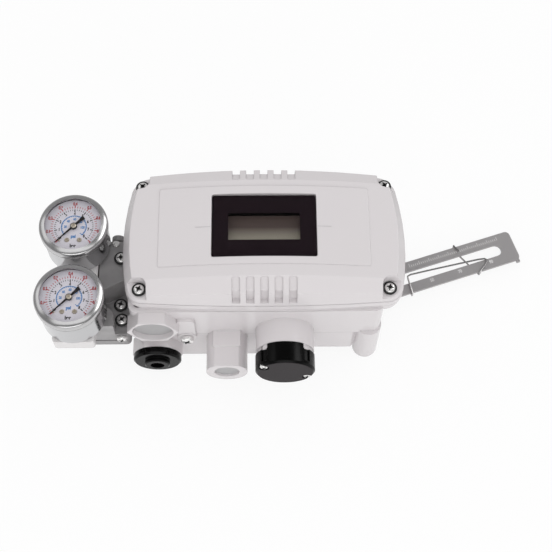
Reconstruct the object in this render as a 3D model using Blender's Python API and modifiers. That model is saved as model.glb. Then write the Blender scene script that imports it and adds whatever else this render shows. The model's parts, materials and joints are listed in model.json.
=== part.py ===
"""A valve positioner with two pressure gauges and a slotted feedback lever.

Metres, +Z up. The positioner lies on its back: the lid faces +Z, the cable entries, the auxiliary
port and the vent point towards -Y, the gauges are at -X and the feedback lever reaches out at +X.
Heights are measured from the flat back and the ends of the mounting bosses, and places across
from the middle of the lid, which the datum empty carries to its place over the part's origin.
"""
import math

import bmesh
import bpy
from mathutils import Matrix, Vector

# The middle of the lid, seen from the point under the middle of the whole outline
LID_CENTRE_X = -0.01814
LID_CENTRE_Y = 0.01330

# Clearance between faces that touch, and the wall of the casting
GAP = 0.0003
WALL = 0.0032

# Lid and the rim of the housing under it
LID_HALF_WIDTH = 0.0856
LID_HALF_HEIGHT = 0.0440
SIDE_BULGE = 0.0050
END_BULGE = 0.0030
LID_TAPER = 0.30
LID_CORNER_RADIUS = 0.0075
LID_DRAFT_X = 0.0095
LID_DRAFT_Y = 0.0037
LID_SEAT_HEIGHT = 0.0783
LID_DEPTH = 0.0187
LID_TOP_HEIGHT = LID_SEAT_HEIGHT + LID_DEPTH
LID_CROWN_DROP = 0.0045
LID_CROWN_REACH = 0.063
LID_SHOULDER_Y = 0.0320
LID_SHOULDER_SLOPE = 0.56
LID_SEAT_WIDTH = 0.0075
LID_SEAT_CORNER = 0.022
LID_TOP_THICKNESS = 0.0060
PANEL_HALF_WIDTH = 0.0632
PANEL_LOW_Y = -0.0246
PANEL_HIGH_Y = 0.0278
PANEL_HEIGHT = 0.0005

# Five short grooves over each long edge of the lid
GROOVE_COUNT = 5
GROOVE_PITCH = 0.00842
GROOVE_WIDTH = 0.0047
GROOVE_DEPTH = 0.0012
GROOVE_INNER_Y = LID_SHOULDER_Y + 0.0004
GROOVE_LOW_HEIGHT = LID_SEAT_HEIGHT + 0.0029

# Lid screws in corner pockets
LID_SCREW_X = 0.0745
LID_SCREW_Y = 0.0346
LID_POCKET_RADIUS = 0.0046
LID_POCKET_FLOOR = LID_SEAT_HEIGHT + 0.0034
LID_SCREW_SHANK = 0.0019
LID_SCREW_LENGTH = 0.0150
SCREW_HEAD_RADIUS = 0.0036
SCREW_HEAD_HEIGHT = 0.0026

# Window in the lid and the display behind it
WINDOW_Y = 0.0013
WINDOW_WIDTH = 0.0624
WINDOW_HEIGHT = 0.0415
WINDOW_TOP = LID_TOP_HEIGHT - 0.0011
PANE_THICKNESS = 0.0012
MASK_THICKNESS = 0.0005
APERTURE_WIDTH = 0.0430
APERTURE_HEIGHT = 0.0180
DISPLAY_WALL = 0.0030
DISPLAY_GLASS_DEPTH = 0.0072
DISPLAY_GLASS_THICKNESS = 0.0011

# Housing: rim, shallow box, deep box and the back
RIM_TOP = LID_SEAT_HEIGHT - 0.0006
RIM_STEP_HEIGHT = 0.0050
RIM_LOW = RIM_TOP - 0.0117
RIM_STEP = 0.0008
BOX_LEFT = -0.0827
BOX_RIGHT = 0.0727
BOX_HALF_HEIGHT = 0.0437
BOX_BULGE = 0.0006
BOX_CORNER = 0.0048
SHALLOW_BACK = 0.0355
DEEP_BACK = 0.0110
DEEP_SPLIT_X = 0.0
DEEP_MIDDLE_X = 0.0460
DEEP_RIGHT_X = 0.0600
DEEP_BELT_HIGH_Y = -0.0205
DEEP_CHAMFER = 0.0050

# Gasket between the lid and the rim
GASKET_INSET = 0.0042
GASKET_WIDTH = 0.0026
GASKET_CORNER = 0.0240
GASKET_GROOVE_DEPTH = 0.0010

# Four M8 mounting holes in the back, two of them in free-standing bosses
MOUNT_RIGHT_X = 0.0652
MOUNT_LEFT_X = -0.0141
MOUNT_HALF_HEIGHT = 0.0381
MOUNT_LEFT_HALF_HEIGHT = 0.0300
MOUNT_BOSS_RADIUS = 0.0079
MOUNT_HOLE_RADIUS = 0.0034
MOUNT_HOLE_DEPTH = 0.0100

# Cable entries
ENTRY_X = -0.0680
ENTRY_FRONT_Z = 0.0550
ENTRY_REAR_Z = 0.0178
ENTRY_RADIUS = 0.0157
ENTRY_FLAT = 0.0138
ENTRY_FACE_Y = -0.0507
ENTRY_RECESS_RADIUS = 0.0125
ENTRY_RECESS_DEPTH = 0.0040
ENTRY_BORE_RADIUS = 0.0096
PLUG_RADIUS = 0.0151
PLUG_FLANGE = 0.0044
PLUG_LENGTH = 0.0130
PLUG_HUB_RADIUS = 0.0080
PLUG_HUB_HEIGHT = 0.0068

# Auxiliary port
AUX_X = -0.0236
AUX_Z = 0.0295
AUX_RADIUS = 0.0128
AUX_PLATE_WIDTH = 0.0172
AUX_PLATE_PROUD = 0.0005
AUX_PLATE_Y = -0.0540
AUX_FACE_Y = -0.0670
AUX_FLAT = 0.0105
AUX_RECESS_RADIUS = 0.0078
AUX_BORE_RADIUS = 0.0058

# Vent with its cap
VENT_X = 0.0124
VENT_Z = 0.0420
VENT_RADIUS = 0.0180
VENT_NECK_Y = -0.0588
VENT_BORE_RADIUS = 0.0130
VENT_STEP_RADIUS = 0.0168
VENT_STEP = 0.0026
CAP_RADIUS = 0.0183
CAP_FACE_Y = -0.0726
CAP_CHAMFER = 0.0014
CAP_NOTCH_RADIUS = 0.0026
CAP_NOTCH_ANGLES = (44, 136, 224, 316)
CAP_TONGUE_HALF_ANGLE = 37
CAP_SCREW_ANGLES = (148, -28)
CAP_SCREW_CIRCLE = 0.0153
CAP_POCKET_RADIUS = 0.0031
CAP_POCKET_DEPTH = 0.0022

# Earth terminal
EARTH_X = -0.0483
EARTH_Z = 0.0357
EARTH_PAD_WIDTH = 0.0112
EARTH_PAD_RADIUS = 0.0062
EARTH_PAD_TOP = 0.0600
EARTH_PAD_PROUD = 0.0027

# Main shaft, its bush, gears and the position sensor
SHAFT_X = 0.0573
SHAFT_Y = -0.00615
SHAFT_RADIUS = 0.0050
SHAFT_TIP_RADIUS = 0.0030
SHAFT_TOP = 0.0510
SHAFT_BOSS_RADIUS = 0.0110
SHAFT_BOSS_END = 0.0122
BUSH_WALL = 0.0020
BUSH_FLANGE_RADIUS = 0.0090
BUSH_FLANGE_THICKNESS = 0.0014
GEAR_MODULE = 0.0008
SECTOR_FULL_TEETH = 48
PINION_TEETH = 16
GEAR_PLAY = 0.0007
GEAR_LOW = 0.0440
GEAR_THICKNESS = 0.0030
SECTOR_HALF_ANGLE = 42
SECTOR_LEAD_TEETH = 2
SECTOR_HUB_RADIUS = 0.0085
SENSOR_RADIUS = 0.0100
SENSOR_HEIGHT = 0.0200
SENSOR_SHAFT_RADIUS = 0.0030

# Feedback lever
LEVER_ANGLE = 18.2
LEVER_LENGTH = 0.1172
LEVER_TAIL = 0.0120
LEVER_WIDTH = 0.0220
LEVER_THICKNESS = 0.0020
LEVER_LOW = 0.0070
LEVER_CORNER = 0.0030
LEVER_SLOT_START = 0.0260
LEVER_SLOT_END = LEVER_LENGTH - 0.0097
LEVER_SLOT_WIDTH = 0.0082
WASHER_RADIUS = 0.0062
WASHER_THICKNESS = 0.0009
NUT_ACROSS_FLATS = 0.0100
NUT_HEIGHT = 0.0036
WIRE_RADIUS = 0.0006
WIRE_NEAR_HOOK = 0.0395
WIRE_FAR_HOOK = LEVER_SLOT_END - 0.0278

# Circuit board with the display, push-buttons and the terminal block
BOARD_LEFT = -0.0600
BOARD_RIGHT = 0.0630
BOARD_HALF_HEIGHT = 0.0298
BOARD_LOW = LID_SEAT_HEIGHT - 0.0010
BOARD_THICKNESS = 0.0016
PILLAR_RADIUS = 0.0042
PILLAR_INSET = 0.0042
BUTTON_COUNT = 4
BUTTON_PITCH = 0.0120
BUTTON_Y = -0.0245
BUTTON_RADIUS = 0.0030
BUTTON_STEM_RADIUS = 0.0017
BUTTON_TRAVEL = 0.0008
SWITCH_SIZE = 0.0062
SWITCH_HEIGHT = 0.0034
TERMINAL_WIDTH = 0.0110
TERMINAL_LENGTH = 0.0480
TERMINAL_HEIGHT = 0.0066
TERMINAL_WAYS = 6

# Torque motor
MOTOR_X = -0.0400
MOTOR_Y = 0.0060
MOTOR_WIDTH = 0.0320
MOTOR_LENGTH = 0.0240
MOTOR_HEIGHT = 0.0260
MOTOR_PLATE = 0.0036
COIL_RADIUS = 0.0100
COIL_BORE = 0.0046
COIL_HEIGHT = 0.0180
ARMATURE_HALF_THICKNESS = 0.0008
ARMATURE_HALF_WIDTH = 0.0032
ARMATURE_LENGTH = 0.0380
NOZZLE_GAP = 0.0013
NOZZLE_RADIUS = 0.0024

# Pilot valve block and gauge block
PILOT_RIGHT = -0.0830
PILOT_LOW_Y = -0.0460
PILOT_HIGH_Y = 0.0178
PILOT_BASE_LOW = 0.0320
PILOT_BASE_HIGH = 0.0410
PILOT_PLATE_LOW = 0.0245
PILOT_PLATE_RIGHT = -0.0840
PILOT_GASKET_THICKNESS = 0.0009
PILOT_PAD_RIGHT = -0.0925
PILOT_PAD_TOP_Y = -0.0335
PILOT_TOWER_HIGH = 0.0625
PILOT_TOWER_HIGH_Y = 0.0038
GAUGE_BLOCK_HALF_WIDTH = 0.01265
GAUGE_BLOCK_LOW_Y = -0.0602
GAUGE_BLOCK_HIGH_Y = 0.0175
GAUGE_BLOCK_HIGH = 0.0640
GAUGE_BLOCK_THICKNESS = 0.0095
PORT_RADIUS = 0.0058
PORT_DEPTH = 0.0120
PORT_PITCH = 0.0195
SPOOL_BORE_RADIUS = 0.0046
SPOOL_RADIUS = 0.0042
SPOOL_LENGTH = 0.0150
SPOOL_TRAVEL = 0.0015

# Pressure gauges
GAUGE_X = -0.1146
GAUGE_YS = (0.0050, -0.0418)
GAUGE_RADIUS = 0.02075
GAUGE_CASE_RADIUS = 0.0196
GAUGE_CASE_WALL = 0.0010
GAUGE_TOP = 0.0922
GAUGE_BEZEL_HEIGHT = 0.0064
GAUGE_BEZEL_LIP = 0.0008
GAUGE_OPENING = 0.0175
GAUGE_LENS_THICKNESS = 0.0010
GAUGE_DIAL_DEPTH = 0.0046
GAUGE_DIAL_THICKNESS = 0.0006
GAUGE_SOCKET_RADIUS = 0.0048
POINTER_LENGTH = 0.0155
POINTER_TAIL = 0.0080
POINTER_ZERO_ANGLE = 225

# Screws of the pilot block: place across and the height that the head sits on
BLOCK_SCREWS = (
    ("block_screw_1", -0.0922, 0.0128, PILOT_BASE_HIGH),
    ("block_screw_2", -0.0884, -0.0045, PILOT_TOWER_HIGH),
    ("block_screw_3", -0.0899, -0.0266, PILOT_BASE_HIGH),
    ("block_screw_4", -0.0888, -0.0367, PILOT_BASE_HIGH),
)
SIDE_SCREW_X = -0.0888
SIDE_SCREW_Z = 0.0372
SCREW_SHANK = 0.0018
SCREW_SHANK_LENGTH = 0.0070

# Facets of round pieces
FINE = 40
MEDIUM = 28
COARSE = 16


def clear_scene():
    for obj in list(bpy.data.objects):
        bpy.data.objects.remove(obj)


def new_collection(name):
    collection = bpy.data.collections.new(name)
    bpy.context.scene.collection.children.link(collection)
    return collection


def finish(name, colour, roughness, metallic=0.0):
    material = bpy.data.materials.new(name)
    material.use_nodes = True
    shader = material.node_tree.nodes["Principled BSDF"]
    shader.inputs["Base Color"].default_value = (*colour, 1.0)
    shader.inputs["Roughness"].default_value = roughness
    shader.inputs["Metallic"].default_value = metallic
    material.diffuse_color = (*colour, 1.0)
    return material


clear_scene()
PARTS = new_collection("valve_positioner")
TOOLS = new_collection("cutters_and_joined_shapes")
DATUM = bpy.data.objects.new("datum", None)
DATUM.location = (LID_CENTRE_X, LID_CENTRE_Y, 0)
PARTS.objects.link(DATUM)

PAINT = finish("light_grey_paint", (0.67, 0.65, 0.66), 0.35)
BLOCK_PAINT = finish("pale_block_paint", (0.66, 0.64, 0.64), 0.4)
BARE_CAST = finish("bare_cast_aluminium", (0.30, 0.29, 0.29), 0.45, 0.8)
BLACK = finish("black_plastic", (0.012, 0.011, 0.012), 0.35)
RUBBER = finish("black_rubber", (0.02, 0.02, 0.02), 0.8)
CHROME = finish("bright_screw_steel", (0.72, 0.70, 0.68), 0.18, 1.0)
STEEL = finish("stainless_sheet", (0.36, 0.35, 0.35), 0.42, 1.0)
BRASS = finish("brass", (0.62, 0.50, 0.28), 0.3, 1.0)
DARK_PRINT = finish("dark_window_print", (0.028, 0.018, 0.026), 0.25)
CLEAR = finish("clear_plastic", (0.9, 0.9, 0.92), 0.05)
DISPLAY = finish("display_glass", (0.18, 0.18, 0.16), 0.15)
BOARD = finish("green_circuit_board", (0.02, 0.12, 0.05), 0.5)
TERMINAL = finish("grey_terminal_plastic", (0.10, 0.14, 0.12), 0.5)
COPPER = finish("lacquered_copper_winding", (0.45, 0.16, 0.06), 0.35, 0.7)
DIAL = finish("dial_white", (0.78, 0.76, 0.82), 0.5)
NEEDLE = finish("needle_black", (0.02, 0.02, 0.02), 0.4)


def place(obj, location, rotation, parent):
    obj.location = location
    obj.rotation_euler = rotation
    obj.parent = parent or DATUM


def mesh_from(name, shape, smooth_angle=35):
    mesh = bpy.data.meshes.new(name)
    bmesh.ops.recalc_face_normals(shape, faces=shape.faces)
    shape.to_mesh(mesh)
    shape.free()
    mesh.shade_smooth()
    mesh.set_sharp_from_angle(angle=math.radians(smooth_angle))
    return mesh


def add_part(name, shape, material, location=(0, 0, 0), rotation=(0, 0, 0), parent=None):
    mesh = shape if isinstance(shape, bpy.types.Mesh) else mesh_from(name, shape)
    if not mesh.materials:
        mesh.materials.append(material)
    obj = bpy.data.objects.new(name, mesh)
    place(obj, location, rotation, parent)
    PARTS.objects.link(obj)
    return obj


def add_tool(name, shape, location=(0, 0, 0), rotation=(0, 0, 0), parent=None):
    mesh = shape if isinstance(shape, bpy.types.Mesh) else mesh_from(name, shape)
    obj = bpy.data.objects.new(name, mesh)
    place(obj, location, rotation, parent)
    obj.hide_render = True
    obj.display_type = "WIRE"
    TOOLS.objects.link(obj)
    return obj


def combine(target, tool, operation):
    modifier = target.modifiers.new(tool.name, "BOOLEAN")
    modifier.operation = operation
    modifier.object = tool
    modifier.solver = "EXACT"


def join_to(target, tool):
    combine(target, tool, "UNION")


def cut_from(target, tool):
    combine(target, tool, "DIFFERENCE")


def edges_along(shape, axis):
    found = []
    for edge in shape.edges:
        run = edge.verts[1].co - edge.verts[0].co
        if abs(run[axis]) > 0.999 * run.length:
            found.append(edge)
    return found


def block(low, high, corner=0.0, axis=2, segments=4):
    """A box between two corners, with its edges along one axis rounded."""
    shape = bmesh.new()
    size = Vector(high) - Vector(low)
    middle = (Vector(high) + Vector(low)) / 2
    bmesh.ops.create_cube(shape, size=1.0)
    bmesh.ops.scale(shape, vec=size, verts=shape.verts)
    bmesh.ops.translate(shape, vec=middle, verts=shape.verts)
    if corner > 0:
        bmesh.ops.bevel(shape, geom=edges_along(shape, axis), offset=corner, segments=segments,
                        profile=0.5, affect="EDGES", clamp_overlap=True)
    return shape


def rod(radius, low, high, sides=MEDIUM, axis="Z", centre=(0, 0), end_radius=None):
    """A round bar from low to high along an axis; centre gives its place across that axis."""
    shape = bmesh.new()
    bmesh.ops.create_cone(shape, cap_ends=True, segments=sides, radius1=radius,
                          radius2=radius if end_radius is None else end_radius, depth=high - low)
    bmesh.ops.translate(shape, vec=(0, 0, (high + low) / 2), verts=shape.verts)
    if axis == "Y":
        bmesh.ops.rotate(shape, matrix=Matrix.Rotation(math.radians(-90), 3, "X"), verts=shape.verts)
        bmesh.ops.translate(shape, vec=(centre[0], 0, centre[1]), verts=shape.verts)
    elif axis == "X":
        bmesh.ops.rotate(shape, matrix=Matrix.Rotation(math.radians(90), 3, "Y"), verts=shape.verts)
        bmesh.ops.translate(shape, vec=(0, centre[0], centre[1]), verts=shape.verts)
    else:
        bmesh.ops.translate(shape, vec=(centre[0], centre[1], 0), verts=shape.verts)
    return shape


def bulged_block(half_width, half_height, low, high, corner, bulges=(0.0, 0.0), top_scale=(1, 1),
                 taper=0.0, side_cuts=5, corner_segments=5):
    """A box with rounded upright edges whose sides bow outwards; it may narrow towards +Y and its top."""
    bulge_x, bulge_y = bulges
    flat_x = half_width - bulge_x
    flat_y = half_height - bulge_y
    shape = block((-flat_x, -flat_y, low), (flat_x, flat_y, high), corner, 2, corner_segments)
    long_edges = [e for e in shape.edges if e.calc_length() > 1.5 * corner
                  and abs(e.verts[0].co.z - e.verts[1].co.z) < 1e-6]
    if bulge_x or bulge_y:
        bmesh.ops.subdivide_edges(shape, edges=long_edges, cuts=side_cuts)
    for vertex in shape.verts:
        x, y, z = vertex.co
        lift = (z - low) / (high - low)
        width = 1 + bulge_x / flat_x * (1 - (y / flat_y) ** 2) - taper * y
        vertex.co.x = x * width * (1 + (top_scale[0] - 1) * lift)
        vertex.co.y = y * (1 + bulge_y / flat_y * (1 - (x / flat_x) ** 2)) * (1 + (top_scale[1] - 1) * lift)
    return shape


def arc(centre, radius, start, end, steps):
    """Points along an arc, angles in degrees."""
    points = []
    for i in range(steps + 1):
        angle = math.radians(start + (end - start) * i / steps)
        points.append((centre[0] + radius * math.cos(angle), centre[1] + radius * math.sin(angle)))
    return points


def circle(radius, steps=MEDIUM, centre=(0, 0)):
    return arc(centre, radius, 0, 360 - 360 / steps, steps - 1)


def flat_part(outlines, low, high):
    """A plate with the given closed outlines; an outline inside another is a hole."""
    curve = bpy.data.curves.new("outline", "CURVE")
    curve.dimensions = "2D"
    curve.fill_mode = "BOTH"
    curve.extrude = (high - low) / 2
    curve.render_resolution_u = 0
    for outline in outlines:
        spline = curve.splines.new("POLY")
        spline.points.add(len(outline) - 1)
        for point, (x, y) in zip(spline.points, outline):
            point.co = (x, y, 0, 1)
        spline.use_cyclic_u = True
    holder = bpy.data.objects.new("outline", curve)
    bpy.context.scene.collection.objects.link(holder)
    evaluated = holder.evaluated_get(bpy.context.evaluated_depsgraph_get())
    mesh = bpy.data.meshes.new_from_object(evaluated)
    shape = bmesh.new()
    shape.from_mesh(mesh)
    bmesh.ops.remove_doubles(shape, verts=shape.verts, dist=1e-6)
    bmesh.ops.translate(shape, vec=(0, 0, (high + low) / 2), verts=shape.verts)
    bpy.data.objects.remove(holder)
    bpy.data.curves.remove(curve)
    bpy.data.meshes.remove(mesh)
    return shape


def turned_mesh(name, profile, steps=FINE, closed=False):
    """A profile of radius and height, ready to be turned about Z by a Screw modifier."""
    shape = bmesh.new()
    corners = [shape.verts.new((radius, 0, height)) for radius, height in profile]
    for first, second in zip(corners, corners[1:]):
        shape.edges.new((first, second))
    if closed:
        shape.edges.new((corners[-1], corners[0]))
    mesh = bpy.data.meshes.new(name)
    shape.to_mesh(mesh)
    shape.free()
    return mesh


def add_turning(obj, steps=FINE):
    screw = obj.modifiers.new("turned", "SCREW")
    screw.axis = "Z"
    screw.angle = math.tau
    screw.steps = steps
    screw.render_steps = steps
    screw.use_merge_vertices = True
    screw.merge_threshold = 1e-5
    screw.use_smooth_shade = True


def turned_part(name, profile, material, location=(0, 0, 0), rotation=(0, 0, 0), steps=FINE, closed=False):
    obj = add_part(name, turned_mesh(name, profile, steps, closed), material, location, rotation)
    add_turning(obj, steps)
    return obj


def crown_drop(x, y):
    """How far the lid's front lies under its middle."""
    return LID_CROWN_DROP * (x / LID_CROWN_REACH) ** 2 + LID_SHOULDER_SLOPE * max(0, abs(y) - LID_SHOULDER_Y)


def crown_cutter(name, lowered, columns=16):
    """Everything above the crowned front with its two sloping shoulders, lowered by the given depth."""
    shape = bmesh.new()
    bmesh.ops.create_grid(shape, x_segments=columns, y_segments=3, size=1.0)
    for vertex in shape.verts:
        vertex.co.x *= LID_HALF_WIDTH + 0.004
        vertex.co.y = math.copysign(LID_SHOULDER_Y if abs(vertex.co.y) < 0.5 else LID_HALF_HEIGHT + 0.004,
                                    vertex.co.y)
        vertex.co.z = LID_TOP_HEIGHT - lowered - crown_drop(vertex.co.x, vertex.co.y)
    roof = bmesh.ops.extrude_face_region(shape, geom=list(shape.faces))
    for item in roof["geom"]:
        if isinstance(item, bmesh.types.BMVert):
            item.co.z = LID_TOP_HEIGHT + 0.010
    return add_tool(name, shape)


def corner_places():
    return [(sx * LID_SCREW_X, sy * LID_SCREW_Y, sx, sy) for sx in (-1, 1) for sy in (-1, 1)]


def pocket_shape(radius, low, high, sign_x, sign_y, place_x, place_y):
    """A rounded corner notch: round about the screw and open towards the lid's corner."""
    reach = 0.030
    outline = arc((0, 0), radius, 180, 270, 6) + [(reach, -radius), (reach, reach), (-radius, reach)]
    points = [(place_x + sign_x * x, place_y + sign_y * y) for x, y in outline]
    if sign_x * sign_y < 0:
        points.reverse()
    return flat_part([points], low, high)


def lid_form(name, inset, lowered, low, corner, add):
    """The lid's outer or inner form: a drafted bulged block under a crowned front."""
    half_width = LID_HALF_WIDTH - inset
    half_height = LID_HALF_HEIGHT - inset
    scale = ((half_width - LID_DRAFT_X) / half_width, (half_height - LID_DRAFT_Y) / half_height)
    shape = bulged_block(half_width, half_height, low, LID_TOP_HEIGHT + 0.002, corner,
                         (SIDE_BULGE, END_BULGE), scale, LID_TAPER)
    form = add(name, shape)
    cut_from(form, crown_cutter(name + "_crown", lowered))
    return form


def make_lid():
    """Die-cast lid: a drafted shell with a crowned front, a raised panel and grooved long edges."""
    lid = lid_form("lid", 0, PANEL_HEIGHT, LID_SEAT_HEIGHT, LID_CORNER_RADIUS,
                   lambda name, shape: add_part(name, shape, PAINT))
    panel = add_tool("lid_panel", block((-PANEL_HALF_WIDTH, PANEL_LOW_Y, LID_SEAT_HEIGHT + 0.004),
                                        (PANEL_HALF_WIDTH, PANEL_HIGH_Y, LID_TOP_HEIGHT + 0.002), 0.0012,
                                        segments=2))
    cut_from(panel, crown_cutter("lid_panel_crown", 0))
    join_to(lid, panel)
    inside = lid_form("lid_inside", LID_SEAT_WIDTH, LID_TOP_THICKNESS, LID_SEAT_HEIGHT - 0.001,
                      LID_SEAT_CORNER, add_tool)
    for number, (x, y, sx, sy) in enumerate(corner_places(), 1):
        keep = add_tool(f"lid_pocket_wall_{number}",
                        pocket_shape(LID_POCKET_RADIUS + WALL, LID_SEAT_HEIGHT - 0.002,
                                     LID_TOP_HEIGHT + 0.006, sx, sy, x, y))
        cut_from(inside, keep)
    cut_from(lid, inside)
    for number, (x, y, sx, sy) in enumerate(corner_places(), 1):
        pocket = add_tool(f"lid_pocket_{number}",
                          pocket_shape(LID_POCKET_RADIUS, LID_POCKET_FLOOR, LID_TOP_HEIGHT + 0.004,
                                       sx, sy, x, y))
        cut_from(lid, pocket)
        hole = add_tool(f"lid_screw_hole_{number}",
                        rod(LID_SCREW_SHANK + GAP, LID_SEAT_HEIGHT - 0.002, LID_POCKET_FLOOR + 0.002,
                            COARSE, centre=(x, y)))
        cut_from(lid, hole)
    cut_grooves(lid)
    cut_window(lid)
    return lid


def cut_grooves(lid):
    """Short grooves that run down the shoulders and over the lid's two long edges."""
    bar = GROOVE_WIDTH / 2
    for side in (-1, 1):
        for index in range(GROOVE_COUNT):
            x = (index - (GROOVE_COUNT - 1) / 2) * GROOVE_PITCH
            edge_y = LID_HALF_HEIGHT - LID_DRAFT_Y
            floor_z = LID_TOP_HEIGHT - crown_drop(x, edge_y) - PANEL_HEIGHT - GROOVE_DEPTH
            inner_z = LID_TOP_HEIGHT - crown_drop(x, GROOVE_INNER_Y) - PANEL_HEIGHT - GROOVE_DEPTH
            wall_y = edge_y - GROOVE_DEPTH
            outline = [(GROOVE_INNER_Y, inner_z), (wall_y, floor_z),
                       (wall_y + 0.0012, GROOVE_LOW_HEIGHT), (edge_y + 0.012, GROOVE_LOW_HEIGHT),
                       (edge_y + 0.012, LID_TOP_HEIGHT + 0.003), (GROOVE_INNER_Y, LID_TOP_HEIGHT + 0.003)]
            shape = flat_part([outline], -bar, bar)
            turn = Matrix(((0, 0, 1), (side, 0, 0), (0, 1, 0)))
            bmesh.ops.transform(shape, matrix=turn.to_4x4(), verts=shape.verts)
            inner_edges = [e for e in shape.edges
                           if all(abs(abs(v.co.y) - GROOVE_INNER_Y) < 1e-6 for v in e.verts)
                           and abs(e.verts[0].co.x - e.verts[1].co.x) < 1e-6]
            bmesh.ops.bevel(shape, geom=inner_edges, offset=0.5 * bar, segments=3, profile=0.5,
                            affect="EDGES")
            bmesh.ops.translate(shape, vec=(x, 0, 0), verts=shape.verts)
            cut_from(lid, add_tool(f"lid_groove_{index}_{side}", shape))


def window_floor():
    return WINDOW_TOP - PANE_THICKNESS - GAP - MASK_THICKNESS - GAP


def display_outer():
    return APERTURE_WIDTH / 2 + DISPLAY_WALL, APERTURE_HEIGHT / 2 + DISPLAY_WALL


def cut_window(lid):
    """A stepped seat for the window and the opening that the display reaches through."""
    half_width = WINDOW_WIDTH / 2 + GAP
    half_height = WINDOW_HEIGHT / 2 + GAP
    seat = add_tool("window_seat", block((-half_width, WINDOW_Y - half_height, window_floor()),
                                         (half_width, WINDOW_Y + half_height, LID_TOP_HEIGHT + 0.003), 0.0012,
                                         segments=2))
    reach_x, reach_y = display_outer()
    opening = add_tool("window_opening", block((-reach_x - GAP, WINDOW_Y - reach_y - GAP, LID_SEAT_HEIGHT),
                                               (reach_x + GAP, WINDOW_Y + reach_y + GAP, LID_TOP_HEIGHT)))
    cut_from(lid, seat)
    cut_from(lid, opening)


def make_window():
    """Clear pane over a dark printed mask with the display's aperture."""
    corner = 0.0012
    pane_low = WINDOW_TOP - PANE_THICKNESS
    add_part("window_pane", block((-WINDOW_WIDTH / 2, WINDOW_Y - WINDOW_HEIGHT / 2, pane_low),
                                  (WINDOW_WIDTH / 2, WINDOW_Y + WINDOW_HEIGHT / 2, WINDOW_TOP), corner,
                                  segments=2), CLEAR)
    mask_high = pane_low - GAP
    mask = add_part("window_mask", block((-WINDOW_WIDTH / 2, WINDOW_Y - WINDOW_HEIGHT / 2,
                                          mask_high - MASK_THICKNESS),
                                         (WINDOW_WIDTH / 2, WINDOW_Y + WINDOW_HEIGHT / 2, mask_high), corner,
                                         segments=2), DARK_PRINT)
    aperture = add_tool("mask_aperture", block((-APERTURE_WIDTH / 2, WINDOW_Y - APERTURE_HEIGHT / 2,
                                                mask_high - 2 * MASK_THICKNESS),
                                               (APERTURE_WIDTH / 2, WINDOW_Y + APERTURE_HEIGHT / 2,
                                                mask_high + MASK_THICKNESS)))
    cut_from(mask, aperture)


def make_display():
    """Display tower on the board: a black frame with the liquid crystal glass set into it."""
    reach_x, reach_y = display_outer()
    low = BOARD_LOW + BOARD_THICKNESS + GAP
    high = window_floor() - GAP
    frame = add_part("display_frame", block((-reach_x, WINDOW_Y - reach_y, low),
                                            (reach_x, WINDOW_Y + reach_y, high), 0.001, segments=2), BLACK)
    glass_top = WINDOW_TOP - DISPLAY_GLASS_DEPTH
    glass_low = glass_top - DISPLAY_GLASS_THICKNESS
    half_x = APERTURE_WIDTH / 2 + 0.0012
    half_y = APERTURE_HEIGHT / 2 + 0.0012
    well = add_tool("display_well", block((-half_x, WINDOW_Y - half_y, glass_low - GAP),
                                          (half_x, WINDOW_Y + half_y, high + 0.002)))
    cut_from(frame, well)
    add_part("display_glass", block((-half_x + GAP, WINDOW_Y - half_y + GAP, glass_low),
                                    (half_x - GAP, WINDOW_Y + half_y - GAP, glass_top)), DISPLAY)


def rim_shape(inset, low, high, corner=LID_CORNER_RADIUS):
    return bulged_block(LID_HALF_WIDTH - inset, LID_HALF_HEIGHT - inset, low, high, corner,
                        (SIDE_BULGE, END_BULGE), taper=LID_TAPER)


def box_shape(inset, low, high):
    """The shallow box behind the rim, drawn in by a wall for its inside."""
    shape = bulged_block((BOX_RIGHT - BOX_LEFT) / 2 - inset, BOX_HALF_HEIGHT - inset, low, high,
                         BOX_CORNER - min(inset, BOX_CORNER / 2), (BOX_BULGE, BOX_BULGE))
    bmesh.ops.translate(shape, vec=((BOX_RIGHT + BOX_LEFT) / 2, 0, 0), verts=shape.verts)
    return shape


def chamfered(corners):
    """A closed outline of square corners (x, y, chamfer), each cut across by its chamfer."""
    points = []
    for index, (x, y, chamfer) in enumerate(corners):
        here = Vector((x, y))
        if chamfer == 0:
            points.append((x, y))
            continue
        for other in (corners[index - 1], corners[(index + 1) % len(corners)]):
            point = here + (Vector(other[:2]) - here).normalized() * chamfer
            points.append((point.x, point.y))
    return points


def deep_outlines(inset, chamfer):
    """Outlines of the whole deep box and of its deepest stretch, drawn in by a wall for the inside."""
    left = BOX_LEFT + BOX_BULGE + inset
    low = -BOX_HALF_HEIGHT + BOX_BULGE + inset
    high = BOX_HALF_HEIGHT - 2 * BOX_BULGE - inset
    middle = DEEP_MIDDLE_X - inset
    right = DEEP_RIGHT_X - inset
    belt = DEEP_BELT_HIGH_Y - inset
    whole = chamfered([(left, low, chamfer), (right, low, chamfer), (right, belt, 0), (middle, belt, 0),
                       (middle, high, chamfer), (left, high, chamfer)])
    split = DEEP_SPLIT_X - inset
    deepest = chamfered([(left, low, chamfer), (split, low, chamfer), (split, high, chamfer),
                         (left, high, chamfer)])
    return whole, deepest


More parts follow.
